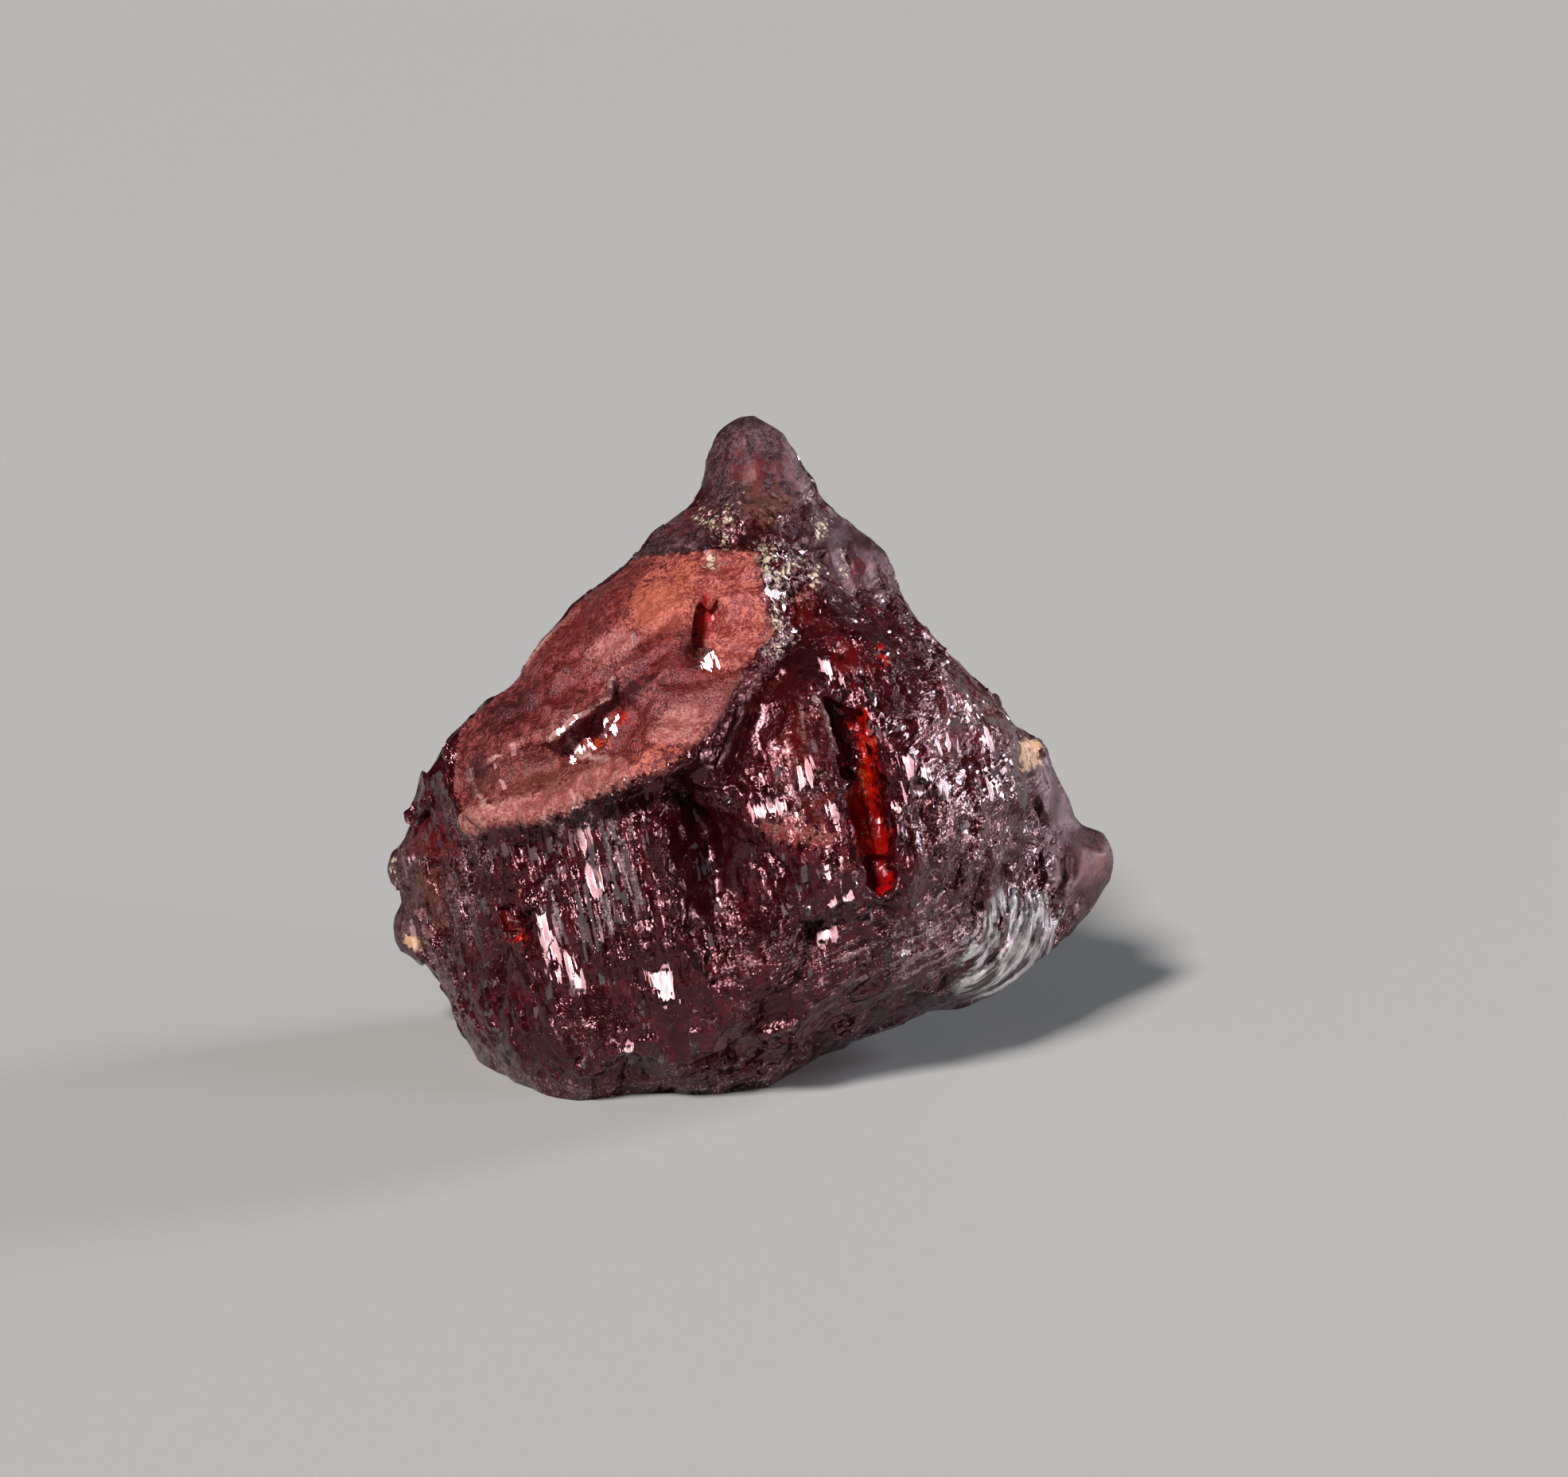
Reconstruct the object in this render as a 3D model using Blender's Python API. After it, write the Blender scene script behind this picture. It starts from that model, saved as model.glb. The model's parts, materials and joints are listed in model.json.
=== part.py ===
"""Rough garnet crystal: one broken, naturally etched piece of dark red garnet that rests on its foot.

The crystal is drawn facing its front, with x across, y in depth (negative is nearer) and z up, in
millimetres from a middle point inside it. A rim runs round its outline. A skin of flat facets is laid
over the rim in front and another behind, the skins are rounded and etched into steps, and the whole
piece leans back on a flat foot. The finished part is in metres, with its origin under its middle.
"""

import math

import bmesh
import bpy
from mathutils import Euler, Matrix, Vector, kdtree, noise
from mathutils.geometry import delaunay_2d_cdt

MM = 0.001
NAME = "garnet_crystal"
WIDTH = 20.0  # across the crystal, left ledge to right knob
LEAN = 15.0  # degrees that the front leans back from upright
FOOT_SLICE = 0.32  # taken off the lowest points, so that the foot is flat
TRIANGLES = 9300  # in the finished solid, before the foot is cut

VOXEL = 0.2  # size of the even mesh that the facets are turned into
ROUNDING_PASSES = 3  # of smoothing, for the worn edges between the facets

# The lattice of the crystal, which its ledges and pits follow. On the front face its lines run down
# and a little to the right.
LATTICE = Euler((math.radians(9), math.radians(15.5), math.radians(-7)))
LEDGE_HEIGHTS = (0.62, 0.95, 0.55)  # between the ledges, along each direction of the lattice
LEDGE_SHARE = 0.6  # how far the surface is drawn into flat ledges
LEDGE_RISE = 0.3  # part of each ledge that its riser takes up
LEDGE_WANDER = (0.3, 0.5)  # waves per mm and height of the wandering of the ledges
WANDER_APART = 7.0  # between the wanderings of the three directions, so that they differ
LEDGE_PATCH = 0.28  # waves per mm of the patches that ledges come and go in
LEDGE_COVER = (0.62, 1.6)  # usual strength of the patches, and how much it comes and goes
RIM_WEAR = 1.9  # distance from the rim within which the ledges are worn away
SMOOTH_PLACES = [  # middle and reach of the places that hardly have ledges
    ((0.5, 2.5, 9.2), 2.6), ((9.4, 2.6, -1.6), 3.4), ((-2.2, -2.2, 4.6), 3.6),
]

# Curved ripples of the broken faces: middle of the rings, middle of the patch, its reach, spacing
# and height.
RIPPLES = [
    ((-0.2, -6.5, 0.6), (-3.4, -2.6, 3.2), 3.6, 1.05, 0.12),
    ((5.2, -2.0, 0.6), (8.2, 0.0, -3.2), 3.0, 0.8, 0.13),
    ((-3.0, 7.0, 6.0), (-1.0, 6.5, 1.0), 4.5, 1.5, 0.12),
]
RIPPLE_SLANT = 0.35  # how much steeper one side of a ripple is

# Etch pits: middle, half length down the lattice, half width and depth.
PIT_THROUGH = 1.6  # half reach of a pit through the surface
PIT_RIM = 1.25  # its reach along the surface, in half lengths
PITS = [
    ((-0.9, -2.6, 4.6), 0.75, 0.3, 0.75),
    ((-6.1, -3.2, -2.9), 0.65, 0.45, 0.6),
    ((-3.4, -4.6, -2.3), 0.7, 0.35, 0.35),
    ((1.9, -4.9, -3.6), 0.8, 0.45, 0.45),
    ((5.9, -4.0, 1.2), 0.7, 0.4, 0.45),
    ((5.0, -4.6, -0.2), 0.6, 0.4, 0.4),
    ((-3.6, 5.6, -1.2), 0.9, 0.5, 0.5),
    ((3.4, 6.2, 1.6), 0.8, 0.5, 0.5),
    ((0.2, 6.4, 2.6), 0.7, 0.45, 0.4),
]

LUMPS = ((0.42, 0.16), (1.1, 0.08))  # waves per mm and height of the lumps

# Outline, clockwise from the horn's tip: x, y, z.
RIM = [
    # horn
    (-0.1, 3.0, 10.65), (0.5, 3.0, 10.6), (1.1, 3.0, 10.15), (1.65, 3.0, 9.4), (2.05, 2.8, 8.8),
    # right shoulder
    (2.3, 2.6, 8.15), (2.9, 2.6, 7.7), (3.6, 2.4, 7.3), (4.1, 2.2, 6.65), (4.3, 2.0, 5.85),
    # right flank
    (4.5, 1.4, 5.25), (5.05, 1.2, 4.6), (5.9, 1.2, 3.9), (6.75, 1.2, 3.1), (7.3, 1.4, 2.35),
    # wing
    (7.8, 2.4, 2.1), (8.4, 2.8, 1.6), (8.95, 3.0, 0.35), (9.2, 3.0, -0.55), (9.6, 3.0, -0.7),
    # knob, and the wing's lower edge
    (10.1, 3.0, -0.8), (10.4, 3.0, -1.4), (10.3, 2.8, -2.1), (9.8, 2.6, -2.85), (8.95, 2.2, -3.9),
    (7.85, 1.6, -4.7), (6.75, 1.2, -5.3), (5.45, 0.8, -5.6), (3.7, 0.9, -6.3),
    # front edge of the foot
    (2.4, 1.0, -6.8), (0.65, -2.0, -7.6), (-0.45, -2.6, -7.75), (-1.75, -2.2, -7.65),
    (-2.85, -2.6, -7.75), (-4.15, -3.0, -7.85), (-5.1, -2.6, -7.75), (-6.25, -1.5, -7.4),
    (-6.9, -0.1, -7.1),
    # lower left edge
    (-7.35, 0.3, -6.4), (-7.9, 0.6, -5.35), (-8.5, 0.8, -4.45),
    # two ledges on the left
    (-9.1, 1.2, -4.2), (-9.55, 1.4, -3.75), (-9.65, 1.5, -3.15), (-9.3, 1.4, -2.65),
    (-9.65, 1.6, -1.95), (-9.55, 1.6, -1.3), (-9.1, 1.4, -0.85), (-9.05, 1.2, -0.05),
    # upper left edge
    (-8.9, 1.1, 0.6), (-8.35, 1.0, 1.05), (-8.0, 1.0, 1.65), (-7.2, 1.2, 2.4), (-6.1, 1.4, 3.25),
    (-5.4, 1.8, 4.45), (-4.6, 2.0, 5.45), (-3.5, 2.2, 6.25), (-2.75, 2.4, 6.75),
    # left shoulder, up to the horn
    (-2.75, 2.6, 7.1), (-2.05, 2.8, 7.8), (-1.3, 2.9, 8.4), (-1.15, 3.0, 9.2), (-0.8, 3.0, 10.15),
]

# Lines of the front, each a run of corners that the facets meet along.
FRONT_LINES = [
    # ridge of the horn, down to the shoulder
    [(0.1, 2.0, 10.15), (0.35, 1.5, 9.2), (0.5, 1.1, 8.5), (0.5, 0.1, 7.8)],
    # shoulder, left to right
    [(-1.75, 1.0, 7.2), (-0.55, 0.4, 7.75), (0.5, 0.1, 7.8), (2.2, 0.5, 7.4), (3.5, 0.8, 6.4)],
    # upper and right edge of the fracture face, down to its tip
    [
        (-2.5, 0.8, 6.5), (-1.1, -0.5, 6.75), (0.55, -1.4, 6.8), (0.8, -2.4, 5.8), (0.95, -3.2, 4.6),
        (0.35, -3.9, 3.7), (-0.1, -4.3, 3.05), (-0.5, -4.9, 2.05), (-1.1, -5.3, 1.4), (-2.1, -5.6, 1.05),
    ],
    # lip along the fracture face's lower edge
    [
        (-8.0, -0.5, 0.0), (-7.1, -2.4, -0.25), (-6.1, -3.5, -0.5), (-4.55, -4.6, -0.2),
        (-3.05, -5.4, 0.5), (-2.1, -5.6, 1.05),
    ],
    # foot of that lip
    [
        (-7.9, -0.3, -0.5), (-7.0, -1.7, -0.7), (-6.0, -2.7, -0.95), (-4.45, -3.7, -0.65),
        (-2.95, -4.3, 0.05), (-2.05, -4.5, 0.6),
    ],
    # ridge across the fracture face
    [(-2.0, -3.9, 3.3), (-3.05, -3.2, 3.3), (-4.1, -3.2, 2.45), (-4.9, -3.1, 1.8), (-6.5, -2.0, 1.25)],
    # hollow under that ridge
    [(-2.5, -4.1, 2.4), (-3.5, -2.7, 2.1), (-4.4, -2.4, 1.4), (-5.7, -2.2, 0.9), (-7.0, -1.2, 0.6)],
    # inner edge of the lip
    [(-2.7, -4.9, 1.3), (-3.4, -4.5, 1.0), (-4.5, -3.9, 0.5), (-5.9, -3.0, 0.2)],
    # upper ridge of the fracture face
    [(-1.3, -2.4, 5.3), (-2.5, -1.9, 4.9), (-3.7, -1.1, 4.3), (-5.2, -0.3, 3.6)],
    # right edge of the lined face
    [(-2.05, -4.5, 0.6), (-1.85, -5.3, -1.1), (-1.6, -5.4, -3.0), (-1.1, -5.1, -4.6), (-0.9, -4.4, -6.2)],
    # shaded hollow beside it
    [(-1.4, -3.6, 0.35), (-0.9, -3.5, -0.6), (-0.7, -3.8, -1.7), (-0.5, -4.4, -2.9)],
    # lower edge of the middle plate
    [(-1.1, -4.9, 0.9), (0.2, -5.2, -0.4), (1.5, -5.6, -1.3), (2.6, -5.8, -1.5)],
    # valley between the fracture face and the middle plate
    [(1.5, -1.6, 5.2), (1.2, -3.0, 3.9), (0.6, -3.8, 2.6), (-0.2, -4.4, 1.2)],
    # left edge of the slot
    [(2.2, -4.7, 2.9), (2.5, -5.3, 1.6), (2.75, -5.7, 0.4), (3.05, -5.9, -1.1), (3.6, -5.7, -2.2)],
    # floor of the slot
    [(2.65, -3.0, 2.4), (2.95, -2.8, 1.5), (3.25, -2.9, 0.3), (3.6, -3.2, -1.0), (3.8, -4.2, -1.7)],
    # right edge of the slot
    [(3.05, -4.4, 3.0), (3.5, -4.9, 1.5), (3.85, -5.3, 0.4), (4.15, -5.6, -0.9), (4.2, -5.5, -2.1)],
    # top of the body under the shoulder
    [(1.5, -1.6, 5.2), (2.5, -1.6, 5.35), (3.9, -0.9, 4.8), (4.8, -0.4, 4.4)],
    # right edge of the body
    [
        (4.8, -0.4, 4.4), (6.6, -0.6, 2.5), (7.25, -1.2, 1.6), (7.45, -1.6, 0.5), (7.3, -1.9, -1.1),
        (6.65, -2.4, -2.2), (5.75, -2.9, -3.05),
    ],
    # hollow between the body and the wing
    [(7.6, 1.3, 1.7), (7.8, 1.0, 0.4), (7.75, 0.8, -1.1), (7.2, -0.6, -2.4)],
    # wing's ridge, out to the knob
    [(8.35, 1.6, 0.6), (8.6, 1.4, -0.9), (9.4, 1.7, -1.35), (9.95, 2.1, -1.4)],
    # lower edge of the lined face
    [(-6.8, -2.0, -5.6), (-5.0, -3.9, -6.0), (-2.8, -4.3, -6.1), (-0.9, -4.4, -6.2), (1.9, -4.3, -5.5)],
]
FRONT_CORNERS = [
    # horn and shoulder
    (-0.45, 1.9, 9.2), (1.1, 1.8, 9.2), (-0.45, 1.6, 8.5), (1.45, 1.4, 8.5), (-0.65, -0.2, 7.0),
    (1.6, -0.5, 6.6), (3.05, 0.2, 5.7),
    # fracture face
    (-1.9, -1.0, 6.0), (-3.6, 0.0, 5.6), (-0.4, -3.1, 4.4), (-1.2, -3.9, 3.2), (-6.1, -0.2, 2.7),
    (-4.6, -1.4, 3.0), (-7.6, -0.2, 1.2), (-1.4, -4.6, 2.3),
    # lined face
    (-8.0, -0.8, -2.0), (-6.4, -3.0, -3.1), (-4.4, -4.3, -3.1), (-3.1, -4.7, -1.9), (-6.9, -1.9, -4.6),
    (-4.1, -4.0, -7.0), (-5.8, -2.8, -6.8), (-1.8, -3.5, -7.1), (-8.6, 0.2, -2.7), (-8.8, 0.3, -1.5),
    (-9.0, 0.5, -3.5),
    # middle plate
    (0.4, -4.6, 0.9), (1.5, -5.0, 0.5), (1.7, -4.7, 2.4),
    # dome on the right
    (3.7, -3.4, 4.0), (4.4, -3.7, 3.3), (5.4, -3.1, 3.0), (6.5, -2.3, 1.7), (4.6, -5.0, 1.1),
    (5.9, -4.1, 0.6), (7.0, -2.8, 0.2), (5.4, -4.7, -1.1), (6.7, -3.1, -1.3), (4.6, -5.3, -1.2),
    (5.0, -1.8, 4.0),
    # lower right
    (6.6, -2.0, -3.3), (7.9, -0.2, -3.8), (6.6, -1.4, -4.5), (5.2, -3.5, -3.8), (4.3, -3.6, -4.6),
    (5.3, -1.7, -5.0), (3.7, -4.9, -3.2), (1.5, -5.4, -3.0), (2.3, -4.8, -4.4), (0.4, -5.0, -4.3),
    (2.6, -2.5, -6.0), (9.7, 1.9, -2.2), (9.1, 1.2, -2.6), (8.2, 0.2, -3.0),
]

# Lines of the back.
BACK_LINES = [
    # back edge of the foot
    [(2.6, 3.2, -6.2), (-0.5, 4.6, -5.83), (-5.0, 3.8, -6.04), (-6.7, 1.8, -6.58)],
    # ridge from the horn down to the middle
    [
        (0.2, 3.9, 10.15), (0.4, 4.4, 9.2), (0.5, 5.1, 7.4), (1.2, 6.2, 4.6), (2.1, 7.2, 1.6),
        (2.0, 7.3, -0.2), (1.6, 6.7, -1.2), (1.0, 6.9, -2.6),
    ],
    # ledge that crosses the back
    [(-6.2, 4.0, 1.6), (-3.6, 5.6, 0.9), (-0.8, 6.6, 0.3), (2.0, 7.3, -0.2), (4.8, 6.2, -0.9)],
    [(-6.0, 3.6, 0.9), (-3.5, 5.0, 0.2), (-0.8, 6.0, -0.5), (1.6, 6.7, -1.2), (4.6, 5.6, -1.6)],
]
BACK_CORNERS = [
    (-1.4, 4.9, 6.4), (2.7, 4.9, 5.6), (-3.4, 4.9, 4.3), (-1.2, 6.0, 3.4), (4.2, 5.4, 3.3),
    (-5.3, 4.1, 3.1), (6.3, 4.7, 1.4), (7.9, 4.6, 0.2), (9.0, 4.3, -1.3), (9.9, 3.9, -1.4),
    (9.6, 3.8, -2.3), (6.9, 4.6, -2.6), (-7.4, 3.4, -0.9), (-8.8, 2.6, -1.6), (-8.7, 2.6, -3.2),
    (-6.3, 4.5, -2.8), (-3.4, 5.8, -2.4), (-3.0, 5.7, -4.4), (0.6, 6.1, -3.4), (4.0, 4.9, -4.1),
    (-6.5, 3.3, -5.0), (5.6, 3.4, -4.6),
]


def skin(bm, rim, lines, corners):
    """Lays flat facets over the rim through the given corners, with an edge along each line."""
    verts = list(rim)
    edges = [(i, (i + 1) % len(rim)) for i in range(len(rim))]
    known = {}

    def corner(point):
        if point not in known:
            known[point] = len(verts)
            verts.append(bm.verts.new(point))
        return known[point]

    for line in lines:
        run = [corner(point) for point in line]
        edges += list(zip(run, run[1:]))
    for point in corners:
        corner(point)
    flat = [Vector((v.co.x, v.co.z)) for v in verts]
    outline = list(range(len(rim)))
    inside_only = 1
    tolerance = 1e-6
    found = delaunay_2d_cdt(flat, edges, [outline], inside_only, tolerance)
    for face in found[2]:
        bm.faces.new([verts[found[3][i][0]] for i in face])


def facets():
    """The crystal's flat facets as one closed mesh."""
    bm = bmesh.new()
    rim = [bm.verts.new(point) for point in RIM]
    skin(bm, rim, FRONT_LINES, FRONT_CORNERS)
    skin(bm, rim, BACK_LINES, BACK_CORNERS)
    bmesh.ops.recalc_face_normals(bm, faces=bm.faces)
    mesh = bpy.data.meshes.new(NAME)
    bm.to_mesh(mesh)
    bm.free()
    return mesh


def with_modifiers(mesh, add):
    """The mesh after the modifiers that the function add puts on it."""
    worker = bpy.data.objects.new("worker", mesh)
    bpy.context.collection.objects.link(worker)
    add(worker)
    graph = bpy.context.evaluated_depsgraph_get()
    made = bpy.data.meshes.new_from_object(worker.evaluated_get(graph))
    bpy.data.objects.remove(worker)
    return made


def worn(worker):
    """An even mesh over the facets, with the edges between them a little rounded."""
    even = worker.modifiers.new("even", "REMESH")
    even.mode = "VOXEL"
    even.voxel_size = VOXEL
    soft = worker.modifiers.new("soft", "SMOOTH")
    soft.factor = 0.5
    soft.iterations = ROUNDING_PASSES


def swell(distance, reach):
    """1 in the middle of a place, easing to 0 at its reach."""
    inside = max(1 - (distance / reach) ** 2, 0.0)
    return inside * inside


def step(height, spacing):
    """How far a point at this height moves to lie on the nearest ledge."""
    along = height / spacing
    part = along - math.floor(along)
    rise = min(max((part - 0.5) / LEDGE_RISE + 0.5, 0.0), 1.0)
    return (math.floor(along) + rise * rise * (3 - 2 * rise) - along) * spacing


def ledges(place, directions, from_rim):
    """Move that draws the surface into ledges along the lattice, in patches away from the rim."""
    usual, varied = LEDGE_COVER
    share = LEDGE_SHARE * min(max(usual + varied * noise.noise(place * LEDGE_PATCH), 0.0), 1.0)
    share *= min(from_rim / RIM_WEAR, 1.0) ** 2
    for middle, reach in SMOOTH_PLACES:
        share *= 1 - swell((place - Vector(middle)).length, reach)
    waves, height = LEDGE_WANDER
    move = Vector()
    for k, direction in enumerate(directions):
        wander = height * noise.noise(place * waves + Vector((WANDER_APART * k, 0, 0)))
        move += direction * share * step(place.dot(direction) + wander, LEDGE_HEIGHTS[k])
    return move


def ripples(place):
    """Height of the curved ripples, which have a steep and a gentle side."""
    height = 0.0
    for rings, middle, reach, spacing, size in RIPPLES:
        turn = 2 * math.pi * (place - Vector(rings)).length / spacing
        patch = swell((place - Vector(middle)).length, reach)
        height += patch * size * (math.sin(turn) + RIPPLE_SLANT * math.sin(2 * turn))
    return height


def pits(place, directions):
    """Depth of the etch pits, which are longer down the lattice than across it."""
    depth = 0.0
    for middle, half_length, half_width, deep in PITS:
        away = place - Vector(middle)
        across = away.dot(directions[0]) / half_width
        down = away.dot(directions[2]) / half_length
        through = away.dot(directions[1]) / PIT_THROUGH
        depth += deep * swell((across**4 + down**4 + through**4) ** 0.25, PIT_RIM)
    return depth


def etched(mesh):
    """Draws the surface into ledges along the lattice, and adds its ripples, pits and low lumps."""
    lattice = LATTICE.to_matrix()
    directions = [lattice.col[i] for i in range(3)]
    rim = kdtree.KDTree(len(RIM))
    for number, point in enumerate(RIM):
        rim.insert(point, number)
    rim.balance()
    normals = [v.normal.copy() for v in mesh.vertices]
    for vert, normal in zip(mesh.vertices, normals):
        place = vert.co.copy()
        height = ripples(place) - pits(place, directions)
        for waves, size in LUMPS:
            height += size * noise.noise(place * waves)
        from_rim = rim.find(place)[2]
        vert.co = place + normal * height + ledges(place, directions, from_rim)
    mesh.update()


def thinned(worker):
    """Fewer triangles: large on flat faces, small along the ledges."""
    fewer = worker.modifiers.new("fewer", "DECIMATE")
    fewer.use_collapse_triangulate = True
    fewer.ratio = TRIANGLES / sum(len(p.vertices) - 2 for p in worker.data.polygons)


def stood_on_foot(mesh):
    """Leans the crystal back, cuts its foot flat and puts the origin under its middle, in metres."""
    bm = bmesh.new()
    bm.from_mesh(mesh)
    bm.transform(Matrix.Rotation(math.radians(-LEAN), 4, "X"))
    lowest = min(v.co.z for v in bm.verts) + FOOT_SLICE
    cut = bmesh.ops.bisect_plane(
        bm,
        geom=bm.verts[:] + bm.edges[:] + bm.faces[:],
        plane_co=(0, 0, lowest),
        plane_no=(0, 0, -1),
        clear_outer=True,
    )
    edge = [e for e in cut["geom_cut"] if isinstance(e, bmesh.types.BMEdge)]
    bmesh.ops.edgenet_fill(bm, edges=edge)
    bmesh.ops.triangulate(bm, faces=bm.faces)
    bmesh.ops.recalc_face_normals(bm, faces=bm.faces)
    lows, highs = ([f(v.co[i] for v in bm.verts) for i in range(3)] for f in (min, max))
    middle = Vector(((lows[0] + highs[0]) / 2, (lows[1] + highs[1]) / 2, lows[2]))
    bm.transform(Matrix.Scale(MM * WIDTH / (highs[0] - lows[0]), 4) @ Matrix.Translation(-middle))
    bm.to_mesh(mesh)
    bm.free()


def garnet():
    """Deep red, glassy and see-through at its thin edges."""
    material = bpy.data.materials.new("garnet")
    material.use_nodes = True
    shader = material.node_tree.nodes["Principled BSDF"]
    shader.inputs["Base Color"].default_value = (0.16, 0.02, 0.018, 1)
    shader.inputs["Metallic"].default_value = 0.0
    shader.inputs["Roughness"].default_value = 0.16
    shader.inputs["IOR"].default_value = 1.78
    shader.inputs["Transmission Weight"].default_value = 0.5
    material.diffuse_color = (0.16, 0.02, 0.018, 1)
    return material


def main():
    for obj in list(bpy.data.objects):
        bpy.data.objects.remove(obj)
    mesh = with_modifiers(facets(), worn)
    etched(mesh)
    mesh = with_modifiers(mesh, thinned)
    stood_on_foot(mesh)
    mesh.name = NAME
    mesh.materials.append(garnet())
    bpy.context.collection.objects.link(bpy.data.objects.new(NAME, mesh))


main()
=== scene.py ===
"""Rough garnet crystal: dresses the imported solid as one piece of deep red, part-frosted garnet.

The fine relief is worked out in the front frame: millimetres, x across the crystal, y away from its front,
z up its front, which leans back from upright. Blocks, lines and pits follow the crystal's lattice.
"""

import json
import math

import bpy
import numpy as np
from bpy.props import FloatProperty, FloatVectorProperty, IntProperty, PointerProperty
from mathutils import Matrix, Vector

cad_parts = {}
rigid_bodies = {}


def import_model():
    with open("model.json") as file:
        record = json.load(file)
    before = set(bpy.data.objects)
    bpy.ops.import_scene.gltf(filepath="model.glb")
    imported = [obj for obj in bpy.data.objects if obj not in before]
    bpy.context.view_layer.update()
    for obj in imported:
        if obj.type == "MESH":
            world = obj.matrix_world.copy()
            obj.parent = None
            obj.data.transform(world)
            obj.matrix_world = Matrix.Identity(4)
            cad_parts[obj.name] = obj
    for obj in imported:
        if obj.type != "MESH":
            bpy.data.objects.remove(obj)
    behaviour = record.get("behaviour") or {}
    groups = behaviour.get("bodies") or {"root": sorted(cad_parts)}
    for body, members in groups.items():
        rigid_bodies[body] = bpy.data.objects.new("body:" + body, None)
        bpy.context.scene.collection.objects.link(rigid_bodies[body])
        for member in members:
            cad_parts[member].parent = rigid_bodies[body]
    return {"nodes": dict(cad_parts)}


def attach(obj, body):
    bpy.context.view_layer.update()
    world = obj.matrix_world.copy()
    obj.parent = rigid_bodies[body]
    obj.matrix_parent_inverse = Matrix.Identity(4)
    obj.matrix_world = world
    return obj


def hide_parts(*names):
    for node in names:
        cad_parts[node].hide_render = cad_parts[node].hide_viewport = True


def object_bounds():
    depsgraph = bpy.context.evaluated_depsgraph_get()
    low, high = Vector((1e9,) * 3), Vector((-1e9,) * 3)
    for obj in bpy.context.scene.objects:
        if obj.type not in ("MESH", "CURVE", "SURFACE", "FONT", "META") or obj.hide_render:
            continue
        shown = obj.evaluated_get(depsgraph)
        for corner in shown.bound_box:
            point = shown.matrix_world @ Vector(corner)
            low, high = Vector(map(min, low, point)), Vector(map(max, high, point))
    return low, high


bl_info = {
    "name": "Rough garnet crystal",
    "version": (1, 0, 0),
    "blender": (4, 5, 0),
    "location": "3D View > Sidebar > Garnet",
    "description": "Dresses a rough garnet crystal and sets it on a pale floor in soft light",
    "category": "Object",
}

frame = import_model()
CAD_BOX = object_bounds()
SOLID = "garnet_crystal"
PIECE = "rough_garnet"

MM = 0.001
LEAN = math.radians(15)  # of the front, back from upright
FOOT_MIDDLE = Vector((0.34, 0.61, -6.68))  # the row's origin, before the lean is taken off
VIEW_MIDDLE = Vector((1.21, 1.8, 1.78))  # where the camera looks, in the front frame
TO_FRONT = Matrix.Rotation(LEAN, 4, "X") @ Matrix.Translation(FOOT_MIDDLE) @ Matrix.Scale(1 / MM, 4)

# Directions of the lattice in the front frame: across, through and down. The lines of the front run down
# and a little to the right, and its flat blocks face up and to the left, where the main light is.
DOWN = Vector((0.25, -0.34, -0.91)).normalized()
FACING = Vector((-0.2, -0.93, 0.3))
FACING = (FACING - DOWN * FACING.dot(DOWN)).normalized()
SIDE_FACING = Vector((0.73, -0.58, 0.36)).normalized()  # of the flats on the right, towards the side light
# Ways that the small etched flats face. The first two are likelier than the others.
FLATS = np.array([
    FACING, SIDE_FACING, (-0.81, -0.43, 0.39), (0.95, 0.17, 0.27), (0.51, 0.80, 0.30), (-0.2, -0.55, 0.81),
    -FACING, DOWN,
])
FROM_RIGHT = (0.95, -0.25, 0.08)  # towards the fill light
LATTICE = np.array([DOWN.cross(FACING), FACING, DOWN])
STREAKS = np.diag((0.6, 1.0, 3.0))  # streaks per mm along the lattice
STAGGER = 0.618  # share of a block's length by which each column of blocks is set off from the last
# Turn of the small facets on the right, about the lattice's middle axis
SIDE_TURN = Matrix.Rotation(math.radians(-50), 3, "Y")


def mirrored(flat):
    """Direction to a light that a flat mirrors towards the front."""
    return TO_FRONT.to_3x3().inverted() @ (2 * -flat.y * flat + Vector((0, 1, 0)))


# ---- Marks: shapes on the front, in mm across and up it ----


def area(*corners):
    """Distance inside an outline. Every mark gives it in mm, and it is negative outside."""

    def inside(flat):
        nearest = np.full(len(flat), np.inf)
        within = np.zeros(len(flat), bool)
        for start, end in zip(corners, corners[1:] + corners[:1]):
            nearest = np.minimum(nearest, from_line(flat, start, end))
            spans = (start[1] > flat[:, 1]) != (end[1] > flat[:, 1])
            rise = end[1] - start[1] or 1e-9
            within ^= spans & (flat[:, 0] < (end[0] - start[0]) * (flat[:, 1] - start[1]) / rise + start[0])
        return np.where(within, nearest, -nearest)

    return inside


def from_line(flat, start, end):
    """Distance from a straight line between two points."""
    start, end = np.array(start), np.array(end)
    run = end - start
    along = np.clip((flat - start) @ run / (run @ run), 0, 1)
    return np.linalg.norm(flat - start - along[:, None] * run, axis=1)


def line(half_width, *points):
    """Distance inside a line of that half width."""

    def inside(flat):
        return half_width - np.min([from_line(flat, *pair) for pair in zip(points, points[1:])], axis=0)

    return inside


def oval(x, z, across, up, turn=0):
    """Distance inside an oval, turned to the left by degrees."""

    def inside(flat):
        return (1 - np.linalg.norm(turned(flat, x, z, turn) / (across, up), axis=1)) * min(across, up)

    return inside


def block(x, z, across, up, turn=15.5):
    """Distance inside a rectangle, turned with the lines of the front unless it says otherwise."""

    def inside(flat):
        return np.min(np.array((across, up)) - np.abs(turned(flat, x, z, turn)), axis=1)

    return inside


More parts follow.
